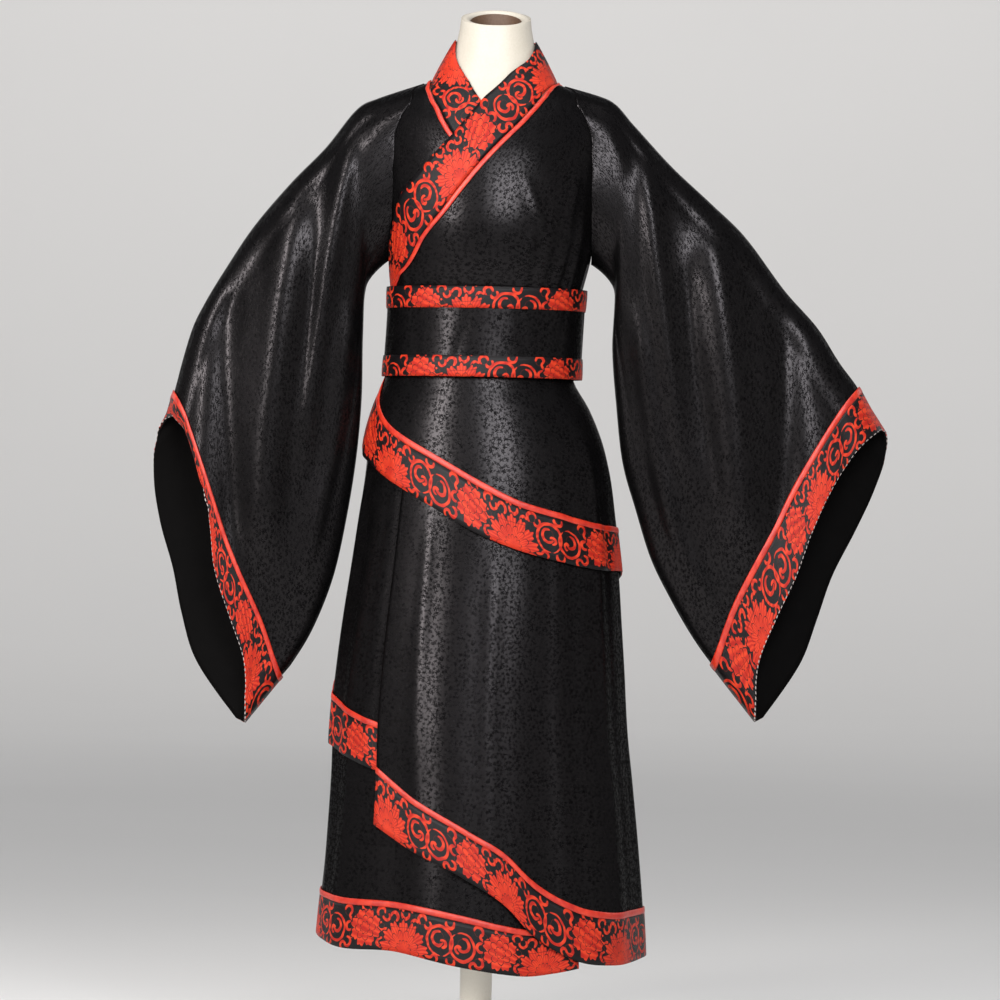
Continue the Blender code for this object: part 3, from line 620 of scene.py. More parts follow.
def bodice_point(turn, level, lift):
    middle = np.where(np.abs(turn) > 90, 180, 0)
    edge = ease((armhole_turn(level) - np.abs(turn_away(turn, middle))) / CREASE_CLEAR)
    return body_point(turn, level * MM, lift + bodice_crease(turn, level) * edge)


def front_grid(edge, side, lift, columns):
    level = np.linspace(BODICE_TOP_Z, BODICE_LOW_Z, BODICE_ROWS)[:, None]
    seam = smooth(edge[0], edge[1], level)
    arm = side * armhole_turn(level)
    turns = seam + (arm - seam) * np.linspace(0, 1, columns)[None, :]
    grid = bodice_point(turns, level, lift(turns, level))
    return grid[:, ::side]


def front_piping(edge, side, lift, rows, low_level):
    level = np.linspace(BODICE_TOP_Z, low_level, rows)[:, None]
    seam = smooth(edge[0], edge[1], level)
    arm = side * armhole_turn(level)
    narrow = side * np.minimum(PIPING_WIDTH / degree_width(level), PIPING_MOST * np.abs(arm - seam))
    share = np.linspace(0, 1, PIPING_ROWS)[None, :]
    turns = seam + narrow * share
    grid = bodice_point(turns, level, lift(turns, level))
    return raised(grid[:, ::side], piping_lift(share))


def make_bodice():
    over = front_grid(OVER_EDGE, 1, over_lift, OVER_COLUMNS)
    sheet("front_over_cloth", over, "satin", ["front_over"])
    under = front_grid(UNDER_EDGE, -1, flat_lift, UNDER_COLUMNS)
    sheet("front_under_cloth", under, "satin", ["front_under"])
    strip = front_piping(OVER_EDGE, 1, over_lift, SEAM_ROWS, BODICE_LOW_Z)
    sheet("collar_piping_over_cloth", strip, "piping", ["collar_piping_over"],
          flat_map=across_map(strip), on="front_over_cloth")
    strip = front_piping(UNDER_EDGE, -1, flat_lift, UNDER_PIPING_ROWS, UNDER_PIPING_LOW_Z)
    sheet("collar_piping_under_cloth", strip, "piping", ["collar_piping_under"],
          flat_map=across_map(strip), on="front_under_cloth")
    level = np.linspace(BODICE_TOP_Z, BODICE_LOW_Z, BODICE_ROWS)[:, None]
    half = armhole_turn(level)
    turns = 180 + half * np.linspace(-1, 1, BACK_COLUMNS)[None, :]
    share = ease((level - NECK_RISE_FROM_Z) / (BODICE_TOP_Z - NECK_RISE_FROM_Z))
    raised_level = level + (neck_level(turns) - BODICE_TOP_Z) * share
    crease = bodice_crease(turns, level) * ease((half - np.abs(turns - 180)) / CREASE_CLEAR)
    back = body_point(turns, raised_level * MM, BODICE_LIFT + crease)
    sheet("back_bodice_cloth", back, "satin", ["back_bodice"])
    turns = np.linspace(180 - NECK_TURN, 180 + NECK_TURN, NECK_COLUMNS)[None, :]
    share = np.linspace(0, 1, PIPING_ROWS)[:, None]
    drop = NECK_PIPING_SIDE + NECK_PIPING_MORE * behind(turns)
    strip = body_point(turns, (neck_level(turns) - drop * share) * MM, BODICE_LIFT)
    sheet("collar_piping_back_cloth", raised(strip, piping_lift(share)), "piping",
          ["collar_piping_back"], on="back_bodice_cloth")


def neck_level(turn):
    """Level of the neck seam round the back (mm), a little higher behind than at the sides."""
    return BODICE_TOP_Z + NECK_RISE * behind(turn)


def strip_grid(seam_turn, seam_level, free_turn, free_level, lift):
    """A collar strip: on the body where that is outermost, straight where it stands off."""
    across = np.linspace(0, 1, COLLAR_COLUMNS)[None, :]
    turn = seam_turn[:, None] + (free_turn - seam_turn)[:, None] * across
    level = seam_level[:, None] + (free_level - seam_level)[:, None] * across
    laid = body_point(turn, level * MM, lift(turn, level))
    ruled = laid[:, :1] + (laid[:, -1:] - laid[:, :1]) * across[..., None]
    outer = np.hypot(ruled[..., 0], ruled[..., 1]) > np.hypot(laid[..., 0], laid[..., 1])
    grid = np.where(outer[..., None], ruled, laid)
    return raised(grid, np.abs(np.sin(math.pi * across)) ** 0.5 * COLLAR_ROUND)


def collar_strip(name, table, edge, gap, lift):
    seam = np.linspace(BODICE_TOP_Z, BODICE_LOW_Z, SEAM_ROWS)
    seam_turn = smooth(edge[0], edge[1], seam) + gap
    free_turn = smooth(table[0], table[1], seam)
    free_level = smooth(table[0], table[2], seam)
    edges = [(seam_turn, seam + COLLAR_UP), (free_turn, free_level)]
    if gap < 0:
        edges.reverse()
    grid = strip_grid(*edges[0], *edges[1], lift)
    flat = band_map(grid.transpose(1, 0, 2)).transpose(1, 0, 2)
    sheet(name + "_cloth", grid, "brocade", [name], flat_map=flat,
          rests_on=("front_over_cloth", "form_torso_skin"))


def make_collar():
    collar_strip("collar_over", COLLAR_OVER, OVER_EDGE, OVER_GAP, over_lift)
    collar_strip("collar_under", COLLAR_UNDER, UNDER_EDGE, UNDER_GAP, flat_lift)
    turns = np.linspace(180 - COLLAR_BACK_TURN, 180 + COLLAR_BACK_TURN, COLLAR_BACK_COLUMNS)
    seam = neck_level(turns) + COLLAR_BACK_UP
    free = COLLAR_BACK_Z + COLLAR_BACK_RISE * behind(turns)
    grid = strip_grid(turns, seam, turns, free, flat_lift).transpose(1, 0, 2)[::-1]
    sheet("collar_back_cloth", grid, "brocade", ["collar_back"], flat_map=band_map(grid),
          rests_on=("back_bodice_cloth", "form_torso_skin"))


def make_belt():
    turns = np.linspace(-180, 180, BELT_COLUMNS, endpoint=False)[None, :]
    angle = np.radians(turns)

    def ring(level, lift):
        half, depth, middle = (smooth(BELT[0], BELT[k], level * MM) for k in (1, 2, 3))
        return np.stack(np.broadcast_arrays(
            middle + (half + lift) * np.sin(angle), -(depth + lift) * np.cos(angle), level * MM), -1)

    level = np.linspace(PANEL_TOP_Z, PANEL_LOW_Z, PANEL_ROWS)[:, None]
    share = (level - PANEL_LOW_Z) / (PANEL_TOP_Z - PANEL_LOW_Z)
    lift = PANEL_IN + PANEL_ROUND * np.sin(math.pi * share)
    from_middle = level - (PANEL_TOP_Z + PANEL_LOW_Z) / 2
    for centre, lean, width, depth in BELT_WRINKLES:
        away = turn_away(turns, centre + lean * from_middle / WRINKLE_REACH)
        lift = lift + depth * MM * np.exp(-(away / width) ** 2)
    sheet("belt_cloth", ring(level, lift), "satin", ["belt_panel"], closed=True, held="stretched",
          rests_on=("front_over_cloth", "back_bodice_cloth"))
    for name, low, top in BELT_BANDS:
        level = np.linspace(top, low, BELT_BAND_ROWS)[:, None]
        rounded = np.abs(np.sin(math.pi * (level - low) / (top - low))) ** 0.5
        grid = ring(level, BELT_BAND_IN + BELT_BAND_ROUND * rounded)
        sheet(name + "_cloth", grid, "belt", [name], BAND_CLOTH, closed=True, held="stretched",
              flat_map=band_map(grid, closed=True, span=BELT_SPAN), rests_on=("belt_cloth",))


def fold_height(folds, face, x, z):
    """How far the folds on one face move the cloth out at a place in the sleeve's flat plane."""
    out = np.zeros(np.shape(x))
    for x1, z1, x2, z2, x3, z3, width, height, side in folds:
        if side == face:
            centre = smooth([z3 * MM, z2 * MM, z1 * MM], [x3 * MM, x2 * MM, x1 * MM], z)
            fade = ease((z1 * MM - z + FOLD_PAST_TOP) / FOLD_FADE_TOP)
            fade = fade * ease((z - z3 * MM + FOLD_PAST_LOW) / FOLD_FADE_LOW)
            out = out + height * MM * fade * np.exp(-((x - centre) / (width * MM)) ** 2)
    return out


def armhole_ring(hand, side_share):
    """The sleeve's first ring: top, down the front of the armhole, armpit, up the back."""
    level = SHOULDER_Z - (SHOULDER_Z - ARMPIT_Z) * side_share
    lift = BODICE_LIFT + ARMHOLE_STEP + CLOTH * ease((side_share - ARMPIT_SHARE) / (1 - ARMPIT_SHARE))
    lap = ARMHOLE_LAP * ease(side_share / LAP_TOP) * ease((1 - side_share) / LAP_LOW)
    turn = armhole_turn(level) - lap
    front = body_point(hand * turn, level * MM, lift)
    back = body_point(hand * (180 - turn), level * MM, lift)
    return np.concatenate([front, back[-2:0:-1]])


def sleeve_grid(table, folds, hand, stations):
    """Rings of a sleeve from the armhole to the cuff. Half of each ring is its front face."""
    t = np.linspace(0, 1, FACE_POINTS)
    drop = RING_EASE * (0.5 - 0.5 * np.cos(math.pi * t)) + (1 - RING_EASE) * t
    first = armhole_ring(hand, drop)
    w = np.concatenate([drop, drop[-2:0:-1]])
    face = np.concatenate([-np.ones(FACE_POINTS), np.ones(FACE_POINTS - 2)])
    from_edge = np.minimum(w, 1 - w)
    rounded = np.sqrt(np.clip(1 - (1 - from_edge / EDGE_ROUND) ** 2, 0, 1))
    share = smooth(SLEEVE_DROP, SLEEVE_DEPTH_SHARE, np.clip(w, EDGE_ROUND, 1 - EDGE_ROUND))
    share = np.where(from_edge < EDGE_ROUND, rounded * share, share)
    folded = np.minimum(share * FOLD_FULL, 1)
    lip = face * smooth(SLEEVE_DROP, LIP_SHARE, w)
    rings = []
    for station in stations:
        top_x, top_z, low_x, low_z, depth, spread, bulge = (
            smooth(np.arange(table.shape[1]), row, station) for row in table)
        x = top_x + (low_x - top_x) * w + hand * (bulge * np.sin(math.pi * w) + spread * lip)
        z = top_z + (low_z - top_z) * w
        height = np.where(face < 0, fold_height(folds, -1, x, z), fold_height(folds, 1, x, z))
        y = face * (depth / 2 * share + folded * height)
        near = ease(station)
        own = np.array([near, ease(station / SLEEVE_EASE), near])
        rings.append(np.stack([x, y, z], -1) * own + first * (1 - own))
    grid = np.array(rings)
    return np.roll(grid[:, ::-1], 1, axis=1) if hand > 0 else grid


def make_sleeves():
    for name, table, folds, hand in (("right", SLEEVE_RIGHT_HAND, FOLDS_RIGHT_HAND, -1),
                                     ("left", SLEEVE_LEFT_HAND, FOLDS_LEFT_HAND, 1)):
        last = table.shape[1] - 1
        grid = sleeve_grid(table, folds, hand, np.linspace(0, last, SLEEVE_ROWS))
        base = "sleeve_" + name + "_cloth"
        # The sleeve's inner faces take the near-black reverse look, painted shade inside the sleeve
        sheet(base, grid, "satin", ["sleeve_" + name + "_front", "sleeve_" + name + "_back"],
              closed=True, held="hung", rests_on=("front_over_cloth", "front_under_cloth"),
              inside="reverse")
        share = np.linspace(0, 1, PIPING_ROWS)
        strip = sleeve_grid(table, folds, hand, CUFF_PIPING_FROM + (CUFF_FROM - CUFF_PIPING_FROM) * share)
        lift = piping_lift(share)[:, None] + ON_TUBE - ON_TOP
        sheet("cuff_piping_" + name + "_cloth", raised(strip, lift, closed=True), "piping",
              ["cuff_piping_" + name], closed=True, on="cuff_band_" + name + "_cloth")
        band = sleeve_grid(table, folds, hand, np.linspace(CUFF_FROM, last, CUFF_ROWS))
        band = raised(band, CLOTH + ON_TUBE, closed=True)
        sheet("cuff_band_" + name + "_cloth", band, "cuff", ["cuff_band_" + name], BAND_CLOTH,
              closed=True, held="laid", rests_on=(base,), flat_map=band_map(band, closed=True))


def skin(name, rings, look, nodes, inside=None, inside_from=0):
    """A closed skin through level rings, with a flat foot and a flat last ring."""
    count = rings.shape[1]
    last = (rings.shape[0] - 1) * count
    faces = [(i + j, i + (j + 1) % count, i + count + (j + 1) % count, i + count + j)
             for i in range(0, last, count) for j in range(count)]
    faces.append(tuple(range(count - 1, -1, -1)))
    faces.append(tuple(last + j for j in range(count)))
    mesh = bpy.data.meshes.new(name)
    mesh.from_pydata(rings.reshape(-1, 3).tolist(), [], faces)
    mesh.materials.append(LOOKS[look])
    if inside is not None:
        mesh.materials.append(LOOKS[inside])
        for face in mesh.polygons:
            if min(face.vertices) >= inside_from * count:
                face.material_index = 1
    return added(name, mesh, nodes)


def make_form():
    turns = np.linspace(0, 360, SIDES, endpoint=False)
    foot = body_point(turns, FORM_LOW_Z, FORM_FOOT_IN)
    rings = []
    for z in FORM_LEVELS:
        slim = FORM_LIFT + (FORM_SLIMMER - FORM_LIFT) * ease((FORM_SLIM_Z - z) / FORM_SLIM_REACH)
        rings.append(body_point(turns, z, slim))
    low = rings[0].copy()
    low[:, :2] = foot[:, :2] + (low[:, :2] - foot[:, :2]) * FOOT_SHARE
    low[:, 2] = FORM_LOW_Z + FOOT_RISE
    foot[:, 2] = FORM_LOW_Z
    rings = [foot, low, *rings]
    rim = body_point(turns, NECK_TOP_Z, FORM_LIFT)
    tilt = rim[:, 1:2] / abs(rim[:, 1]).max() * NECK_SLANT * np.array((0, 0, 1))
    for part in range(1, NECK_STEPS):
        rings.append(rings[-1] + (rim + tilt - rings[-1]) * part / NECK_STEPS)
    narrower = NECK_WALL / abs(rim[:, 0]).max()
    for angle in np.linspace(0, math.pi, RIM_STEPS):
        scale = 1 - narrower * (1 - math.cos(angle)) / 2
        up = (math.sin(angle) - 1) * NECK_WALL * RIM_RISE
        rings.append(rim * (scale, scale, 1) + tilt + (0, 0, up))
    inner = rings[-1]
    well = len(rings) - 1
    for share in WELL_SHARES:
        rings.append(inner - (0, 0, NECK_WELL * share))
    # The faces down the neck's hollow take the dark brown well look, painted shade in the hollow
    skin("form_torso_skin", np.array(rings), "form", ["form_torso"], "well", well)


def turned(name, profile, nodes):
    """A turned piece on the pole's axis from radius and height pairs."""
    angle = np.linspace(0, 2 * math.pi, SIDES, endpoint=False)
    rings = np.array([np.stack([r * np.cos(angle), r * np.sin(angle), np.full(SIDES, z)], -1)
                      for r, z in profile])
    made = skin(name, rings, "steel", nodes)
    split = made.modifiers.new("Edges", "EDGE_SPLIT")
    split.split_angle = math.radians(SHARP_ANGLE)


def make_stand():
    turned("form_pole_turned", POLE_PROFILE, ["form_pole"])
    turned("form_base_turned", BASE_PROFILE, ["form_base"])


class Number:
    """A number or a vector at every point of a surface, worked out by the material's own nodes."""

    def __init__(self, socket):
        self.socket = socket
        self.tree = socket.id_data

    def math(self, kind, *others, clamp=False):
        node = self.tree.nodes.new("ShaderNodeMath")
        node.operation = kind
        node.use_clamp = clamp
        for place, value in enumerate((self, *others)):
            plug(value, node.inputs[place])
        return Number(node.outputs[0])

    def __add__(self, other):
        return self.math("ADD", other)

    def __sub__(self, other):
        return self.math("SUBTRACT", other)

    def __mul__(self, other):
        return self.math("MULTIPLY", other)

    def __truediv__(self, other):
        return self.math("DIVIDE", other)

    def or_else(self, other):
        return self.math("MAXIMUM", other)

    def both(self, other):
        return self.math("MINIMUM", other)

    def size(self):
        return self.math("ABSOLUTE")

    def sine(self):
        return self.math("SINE")

    def cosine(self):
        return self.math("COSINE")

    def power(self, exponent):
        return self.math("POWER", exponent)

    def step(self, low, high):
        """0 below low, 1 above high, smooth between."""
        node = self.tree.nodes.new("ShaderNodeMapRange")
        node.interpolation_type = "SMOOTHSTEP"
        plug(self, node.inputs["Value"])
        node.inputs["From Min"].default_value = low
        node.inputs["From Max"].default_value = high
        return Number(node.outputs["Result"])


def plug(value, socket):
    """Joins a value made by nodes to a socket, or writes a plain value on it."""
    if isinstance(value, Number):
        value.tree.links.new(value.socket, socket)
    else:
        socket.default_value = value


def vector_math(kind, first, *others, out="Vector"):
    node = first.tree.nodes.new("ShaderNodeVectorMath")
    node.operation = kind
    for place, value in enumerate((first, *others)):
        plug(value, node.inputs[place])
    return Number(node.outputs[out])


def scaled(vector, factor):
    node = vector.tree.nodes.new("ShaderNodeVectorMath")
    node.operation = "SCALE"
    plug(vector, node.inputs[0])
    plug(factor, node.inputs["Scale"])
    return Number(node.outputs["Vector"])


def length_of(vector):
    return vector_math("LENGTH", vector, out="Value")


def parts(vector):
    """The first two parts of a vector."""
    node = vector.tree.nodes.new("ShaderNodeSeparateXYZ")
    plug(vector, node.inputs[0])
    return Number(node.outputs[0]), Number(node.outputs[1])


def joined(x, y):
    node = x.tree.nodes.new("ShaderNodeCombineXYZ")
    plug(x, node.inputs[0])
    plug(y, node.inputs[1])
    return Number(node.outputs[0])


def mixed(share, first, second):
    """A colour between two colours."""
    node = share.tree.nodes.new("ShaderNodeMix")
    node.data_type = "RGBA"
    plug(share, node.inputs[0])
    for place, colour in ((6, first), (7, second)):
        plug(colour if isinstance(colour, Number) else (*colour, 1), node.inputs[place])
    return Number(node.outputs[2])


def noise(place, scale, detail=2.0, out=0):
    node = place.tree.nodes.new("ShaderNodeTexNoise")
    plug(place, node.inputs["Vector"])
    node.inputs["Scale"].default_value = scale
    node.inputs["Detail"].default_value = detail
    return Number(node.outputs[out])


def fine_lines(across, rate):
    """Threads side by side, from 0 between them to 1 on them."""
    return (across * rate).sine().step(-1, 1)


def flat_place(shader):
    """The cloth's flat coordinates in millimetres."""
    node = shader.id_data.nodes.new("ShaderNodeUVMap")
    node.uv_map = "cloth"
    return scaled(Number(node.outputs[0]), 1 / MM)


def object_place(shader):
    node = shader.id_data.nodes.new("ShaderNodeTexCoord")
    return Number(node.outputs["Object"])


def bumped(shader, height, strength):
    """Dents the surface by a height in millimetres."""
    node = height.tree.nodes.new("ShaderNodeBump")
    node.inputs["Strength"].default_value = strength
    node.inputs["Distance"].default_value = MM
    plug(height, node.inputs["Height"])
    plug(Number(node.outputs[0]), shader.inputs["Normal"])


def blank(name, roughness, specular):
    made = bpy.data.materials.new(name)
    made.use_nodes = True
    shader = made.node_tree.nodes["Principled BSDF"]
    shader.inputs["Roughness"].default_value = roughness
    shader.inputs["Specular IOR Level"].default_value = specular
    return made, shader


# Satin: ground and figure colours, tint of its shine, its wavering (mm), and its strewn figures:
# cell (mm), petals, reach and notch in cells
SATIN_GROUND = (0.0165, 0.0152, 0.0158)
SATIN_FIGURE = (0.0008, 0.0007, 0.0008)
SATIN_TINT = (0.2, 0.19, 0.2, 1)
SATIN_WAVER = 3.0
BLOSSOM_CELLS = (6.2, 5.0, 0.36, 0.18)
LEAF_CELLS = (3.3, 2.0, 0.32, 0.2)
# Sleeves' inside: near-black colours, painted shade for the dark inside of the sleeves
REVERSE_PAINTED_SHADE_DARK = (0.0006, 0.0005, 0.0005)
REVERSE_PAINTED_SHADE_LIGHTER = (0.0022, 0.0018, 0.0018)

# Brocade: colours of its ground, its red thread as a shaded crimson and a lit orange (painted shade and
# painted light), the cuffs' stitches, and its wavering (mm)
BROCADE_GROUND = (0.0035, 0.0025, 0.003)
RED_SHADED = (0.28, 0.006, 0.003)
RED_LIT = (0.52, 0.036, 0.010)
STITCH_COLOUR = (0.42, 0.36, 0.34)
BROCADE_WAVER = 3.0
# Piping's red as a shaded and a lit copy: painted shade and painted light
PIPING_SHADED = (0.34, 0.009, 0.004)
PIPING_LIT = (0.50, 0.03, 0.009)

# Pale stitches along a cuff's free edge: pitch, and how far down the band they start (mm)
STITCH_PITCH = 8.0
STITCH_FROM = 58.4

# Brocade repeat in millimetres: its size, then its figures. All of it is drawn with arcs and lobes
TILE = (216.0, 92.0)

# Arcs of the vines and curls: centre, radius, half stroke, middle direction and spread in degrees
ARCS = (
    (88, 27, 19.5, 2.1, 100, 345), (86, 30, 9.0, 2.3, 200, 260), (93, 24, 4.6, 2.0, 20, 250),
    (122, 25, 18.5, 2.1, 300, 345), (124, 28, 8.4, 2.3, 330, 260), (117, 21, 4.4, 2.0, 160, 250),
    (60, 49, 6.4, 2.3, 120, 250), (69, 44, 5.0, 2.1, 300, 240), (103, 53, 6.4, 2.3, 270, 220),
    (146, 50, 6.6, 2.3, 60, 250), (155, 44, 5.2, 2.1, 240, 240), (205, 51, 6.2, 2.3, 110, 250),
    (214, 45, 5.2, 2.1, 290, 240), (72, 8, 6.0, 2.2, 230, 250), (80, 2, 4.8, 2.0, 60, 240),
    (105, 3, 5.8, 2.2, 270, 250), (147, 8, 6.2, 2.2, 330, 250), (139, 2, 4.8, 2.0, 130, 240),
    (207, 9, 6.0, 2.2, 200, 250), (213, 22, 5.6, 2.2, 20, 250), (206, 31, 5.0, 2.0, 200, 240),
    (12, 46, 6.2, 2.3, 60, 250), (31, 52, 6.4, 2.3, 270, 230), (48, 41, 5.4, 2.2, 150, 250),
    (150, 29, 5.8, 2.2, 180, 250), (156, 19, 4.6, 2.0, 340, 240), (179, 58, 7.0, 2.4, 270, 200),
    (88, 70, 9.0, 2.4, 30, 280), (106, 74, 6.6, 2.2, 200, 250), (124, 68, 9.0, 2.4, 150, 280),
    (145, 74, 6.2, 2.2, 320, 250), (164, 74, 7.4, 2.3, 60, 260), (186, 80, 6.8, 2.2, 250, 250),
    (204, 72, 6.0, 2.2, 90, 250),
)

# Blossoms: centre, radius, petals, turn in radians
BLOSSOMS = ((30, 3, 37.0, 13.0, 0.3), (179, 28, 24.0, 8.0, 1.1))
SOFT_EDGE = 0.25


def scatter(place, cell, petals, reach, notch):
    """Small figures strewn one to a cell, each turned its own way: how far inside one is, in cells."""
    small = scaled(place, 1.0 / cell)
    node = place.tree.nodes.new("ShaderNodeTexVoronoi")
    node.voronoi_dimensions = "2D"
    node.inputs["Scale"].default_value = 1.0
    node.inputs["Randomness"].default_value = 0.9
    plug(small, node.inputs["Vector"])
    away = vector_math("SUBTRACT", small, Number(node.outputs["Position"]))
    x, y = parts(away)
    own_turn, own_size = parts(Number(node.outputs["Color"]))
    angle = y.math("ARCTAN2", x) + own_turn * 6.28
    edge = ((angle * petals).cosine() * notch + reach) * (own_size * 0.5 + 0.75)
    return edge - length_of(away)


def make_satin():
    """Black jacquard satin: tiny blossoms and leaves, matt on a glossy ground."""
    made, shader = blank("satin", 0.35, 0.08)
    shader.inputs["Specular Tint"].default_value = SATIN_TINT
    place = flat_place(shader)
    bent = vector_math("ADD", place, scaled(noise(place, 0.16, 1.0, out=1), SATIN_WAVER))
    figure = scatter(bent, *BLOSSOM_CELLS).or_else(scatter(bent, *LEAF_CELLS)).step(-0.05, 0.05)
    patches = noise(place, 0.035).step(0.25, 0.6)
    figure = figure * (patches * 0.3 + 0.7)
    plug(mixed(figure, SATIN_GROUND, SATIN_FIGURE), shader.inputs["Base Color"])
    plug(figure * -0.8 + 0.84, shader.inputs["Metallic"])
    plug(figure * 0.15 + 0.26, shader.inputs["Roughness"])
    x, y = parts(place)
    crumple = noise(joined(x, y * 0.4), 0.012, 1.0)
    dents = noise(place, 0.026, 1.0)
    bumped(shader, crumple * 1.2 + dents * 0.4 + figure * -0.04, 0.8)
    return made


def make_reverse_with_painted_shade():
    """The sleeves' inside: the satin's dull reverse, its colour darkened near to black as painted shade
    inside the sleeves, with a fine twill line.
    """
    made, shader = blank("satin_reverse_painted_shade", 0.75, 0.05)
    place = flat_place(shader)
    x, y = parts(place)
    twill = fine_lines(x + y, 5.0)
    shade = noise(place, 0.05)
    # Both colours are near black, painted shade inside the sleeves; the twill and a noise vary them
    plug(mixed(twill * 0.4 + shade * 0.6, REVERSE_PAINTED_SHADE_DARK, REVERSE_PAINTED_SHADE_LIGHTER), shader.inputs["Base Color"])
    bumped(shader, twill * 0.03 + shade * 0.5, 0.6)
    return made


def from_centre(place, x, y):
    """Where a place lies from a figure's centre, or from the centre's nearest repeat."""
    half = (TILE[0] / 2, TILE[1] / 2, 1)
    minus = tuple(-value for value in half)
    return vector_math("WRAP", vector_math("SUBTRACT", place, (x, y, 0)), half, minus)


def arc(place, x, y, radius, stroke, middle, spread):
    """How far inside a tapering stroke a place is, in millimetres."""
    away = from_centre(place, x, y)
    far = length_of(away)
    heading = (math.cos(math.radians(middle)), math.sin(math.radians(middle)), 0)
    along = vector_math("DOT_PRODUCT", away, heading, out="Value") / far
    end = math.cos(math.radians(spread / 2))
    taper = along.math("MULTIPLY_ADD", 1 / (1 - end), -end / (1 - end), clamp=True).power(0.22)
    return taper * stroke - (far - radius).size()


def blossom(place, x, y, radius, petals, turn):
    """A many-petalled flower: its fill, the dark lines round its petals, and the petals' veins."""
    away = from_centre(place, x, y)
    ax, ay = parts(away)
    far = length_of(away)
    angle = ay.math("ARCTAN2", ax) + turn
    lobe = (angle * (petals / 2)).cosine().size()
    inner_lobe = (angle * (petals / 2)).sine().size()
    serration = (angle * petals * 2.5).cosine()
    fill = lobe.power(0.45) * (radius * 0.34) + serration * (radius * 0.05) + radius * 0.74 - far
    ring = (inner_lobe.power(0.5) * (radius * 0.3) + radius * 0.42 - far).size() - 0.55
    small = (lobe.power(0.5) * (radius * 0.2) + radius * 0.16 - far).size() - 0.5
    between = (lobe * far - 1.1).or_else((far - radius * 0.7) * -1)
    veins = (angle * petals * 3.5).cosine().step(-1, 1)
    return fill, ring.both(small).both(between), veins


def make_brocade(name, shift, stitched=False):
    """Red flowers, rings and curls woven on black, shifted so that strips differ. The red carries painted
    light and shade in random patches.
    """
    made, shader = blank(name, 0.5, 0.2)
    flat = flat_place(shader)
    x, y = parts(flat)
    wx, wy = parts(noise(flat, 0.09, 1.0, out=1))
    place = joined(x + shift[0] + (wx - 0.5) * BROCADE_WAVER, y + shift[1] + (wy - 0.5) * BROCADE_WAVER)
    vines = functools.reduce(Number.or_else, [arc(place, *row) for row in ARCS])
    flowers = [blossom(place, *row) for row in BLOSSOMS]
    fill = flowers[0][0].or_else(flowers[1][0])
    lines = flowers[0][1].both(flowers[1][1])
    veins = flowers[0][2]
    clear = fill.step(-2.6, -1.8)
    vines = vines.step(-SOFT_EDGE, SOFT_EDGE) * (clear * -1.0 + 1.0)
    figure = vines.or_else(fill.step(-SOFT_EDGE, SOFT_EDGE) * lines.step(-SOFT_EDGE, SOFT_EDGE))
    weave = fine_lines(x + y * 0.6, 9.0)
    shade = noise(flat, 0.05)
    # The red is mixed at random between its shaded and lit copies, painted shade and painted light; the
    # petals' veins pull it towards the lit orange
    red = mixed((shade * 0.8 + veins * 0.35).step(0.2, 0.95), RED_SHADED, RED_LIT)
    colour = mixed(figure, BROCADE_GROUND, red)
    if stitched:
        dash = (x * (2 * math.pi / STITCH_PITCH)).sine().step(-0.3, 0.1)
        free_edge = (y * -1.0).step(STITCH_FROM, STITCH_FROM + 0.4)
        colour = mixed(dash * free_edge, colour, STITCH_COLOUR)
    plug(colour, shader.inputs["Base Color"])
    plug(figure * 0.1 + 0.42, shader.inputs["Roughness"])
    bumped(shader, figure * 0.18 + weave * 0.05 + noise(flat, 0.03, 1.0) * 0.8, 0.8)
    return made


def make_piping():
    """Red satin ribbon with fine lines along it, its red mixed at random between a shaded and a lit copy:
    painted shade and painted light.
    """
    made, shader = blank("piping", 0.36, 0.5)
    place = flat_place(shader)
    x, y = parts(place)
    shade = noise(place, 0.08)
    # Painted light and shade: the red mixed at random between its shaded and lit copies
    plug(mixed(shade.step(0.25, 0.75), PIPING_SHADED, PIPING_LIT), shader.inputs["Base Color"])
    plug(shade * 0.15 + 0.3, shader.inputs["Roughness"])
    bumped(shader, fine_lines(x + y, 7.0) * 0.04 + noise(place, 0.12) * 0.5, 0.7)
    return made


def make_form_look(name, colour, darker, roughness):
    """Smooth painted form with a faint grain."""
    made, shader = blank(name, roughness, 0.4)
    place = scaled(object_place(shader), 1 / MM)
    grain = noise(place, 0.35, 3.0)
    broad = noise(place, 0.012)
    plug(mixed((grain * 0.5 + broad * 0.6).step(0.3, 0.85), colour, darker), shader.inputs["Base Color"])
    plug(grain * 0.12 + (roughness - 0.06), shader.inputs["Roughness"])
    bumped(shader, grain * 0.06, 0.6)
    return made


def make_floor_look():
    made, shader = blank("floor_look", 0.75, 0.3)
    cloudy = noise(object_place(shader), 0.6)
    plug(mixed(cloudy, (0.56, 0.55, 0.54), (0.60, 0.59, 0.58)), shader.inputs["Base Color"])
    shader.inputs["Emission Color"].default_value = FLOOR_GLOW
    shader.inputs["Emission Strength"].default_value = GLOW_STRENGTH
    return made


def make_looks():
    LOOKS["satin"] = make_satin()
    LOOKS["reverse"] = make_reverse_with_painted_shade()
    LOOKS["brocade"] = make_brocade("brocade", (0.0, 58.0))
    LOOKS["cuff"] = make_brocade("brocade_cuff", (40.0, 58.0), stitched=True)
    LOOKS["belt"] = make_brocade("brocade_belt", (70.0, 70.0))
    LOOKS["piping"] = make_piping()
    LOOKS["form"] = make_form_look("form", (0.46, 0.425, 0.365), (0.41, 0.37, 0.305), 0.5)
    # Inside of the neck's hollow: dark brown, painted shade in the hollow
    LOOKS["well"] = make_form_look("well", (0.10, 0.055, 0.03), (0.06, 0.03, 0.018), 0.6)
    LOOKS["steel"] = make_form_look("paint", (0.82, 0.78, 0.70), (0.76, 0.71, 0.62), 0.35)


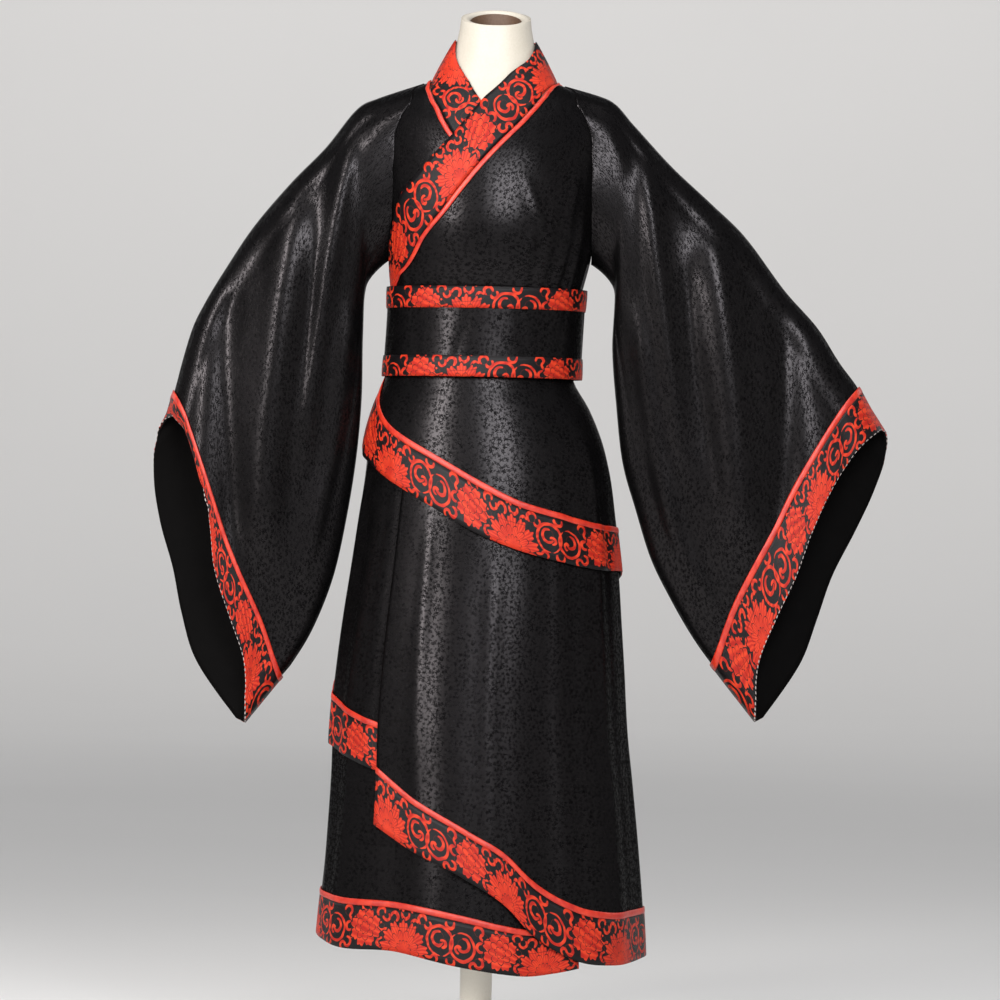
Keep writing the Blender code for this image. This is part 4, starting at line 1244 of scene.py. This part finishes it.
def make_floor():
    """A pale floor that curves up behind."""
    line = [(FLOOR_REACH, 0.0)]
    for part in range(1, FLOOR_STEPS + 1):
        angle = math.pi / 2 * part / FLOOR_STEPS
        line.append((FLOOR_REACH + FLOOR_CURVE * math.sin(angle), FLOOR_CURVE * (1 - math.cos(angle))))
    line.append((FLOOR_REACH + FLOOR_CURVE, FLOOR_CURVE + FLOOR_WALL))
    points = [(0.0, 0.0, 0.0)]
    for reach, z in line:
        for j in range(SIDES):
            angle = 2 * math.pi * j / SIDES
            points.append((reach * math.cos(angle), reach * math.sin(angle), z))
    faces = []
    for j in range(SIDES):
        k = (j + 1) % SIDES
        faces.append((0, 1 + j, 1 + k))
        for i in range(1, 1 + (len(line) - 1) * SIDES, SIDES):
            faces.append((i + j, i + SIDES + j, i + SIDES + k, i + k))
    mesh = bpy.data.meshes.new("floor")
    mesh.from_pydata(points, [], faces)
    mesh.shade_smooth()
    mesh.materials.append(make_floor_look())
    floor = bpy.data.objects.new("floor", mesh)
    bpy.context.scene.collection.objects.link(floor)


def make_lights():
    world = bpy.data.worlds.new("studio")
    world.use_nodes = True
    sky = world.node_tree.nodes["Background"]
    sky.inputs["Color"].default_value = SKY_COLOUR
    sky.inputs["Strength"].default_value = SKY_STRENGTH
    bpy.context.scene.world = world
    for name, place, aim, size, power, spread, colour in LIGHTS:
        lamp = bpy.data.lights.new(name, "AREA")
        lamp.shape = "RECTANGLE"
        lamp.size, lamp.size_y = size
        lamp.energy = power
        lamp.spread = math.radians(spread)
        lamp.color = colour
        made = bpy.data.objects.new(name, lamp)
        made.location = place
        made.rotation_mode = "QUATERNION"
        made.rotation_quaternion = (Vector(aim) - Vector(place)).to_track_quat("-Z", "Y")
        bpy.context.scene.collection.objects.link(made)


def make_camera():
    lens = bpy.data.cameras.new("camera")
    lens.lens = CAMERA_LENS
    lens.sensor_width = CAMERA_SENSOR
    lens.clip_end = CAMERA_REACH
    camera = bpy.data.objects.new("camera", lens)
    bpy.context.scene.collection.objects.link(camera)
    camera.location = Vector(CAMERA_AIM) + Vector((0, -CAMERA_AWAY, 0))
    camera.rotation_mode = "QUATERNION"
    look = Vector((0, 1, 0)).to_track_quat("-Z", "Y").to_matrix().to_4x4()
    camera.rotation_quaternion = (look @ Matrix.Rotation(math.radians(CAMERA_ROLL), 4, "Z")).to_quaternion()
    bpy.context.scene.camera = camera
    bpy.context.scene.view_settings.view_transform = "Standard"


def main():
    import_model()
    make_looks()
    make_form()
    make_stand()
    make_bodice()
    make_collar()
    make_belt()
    make_sleeves()
    make_skirt()
    declare_sheets()
    make_floor()
    make_lights()
    make_camera()


main()
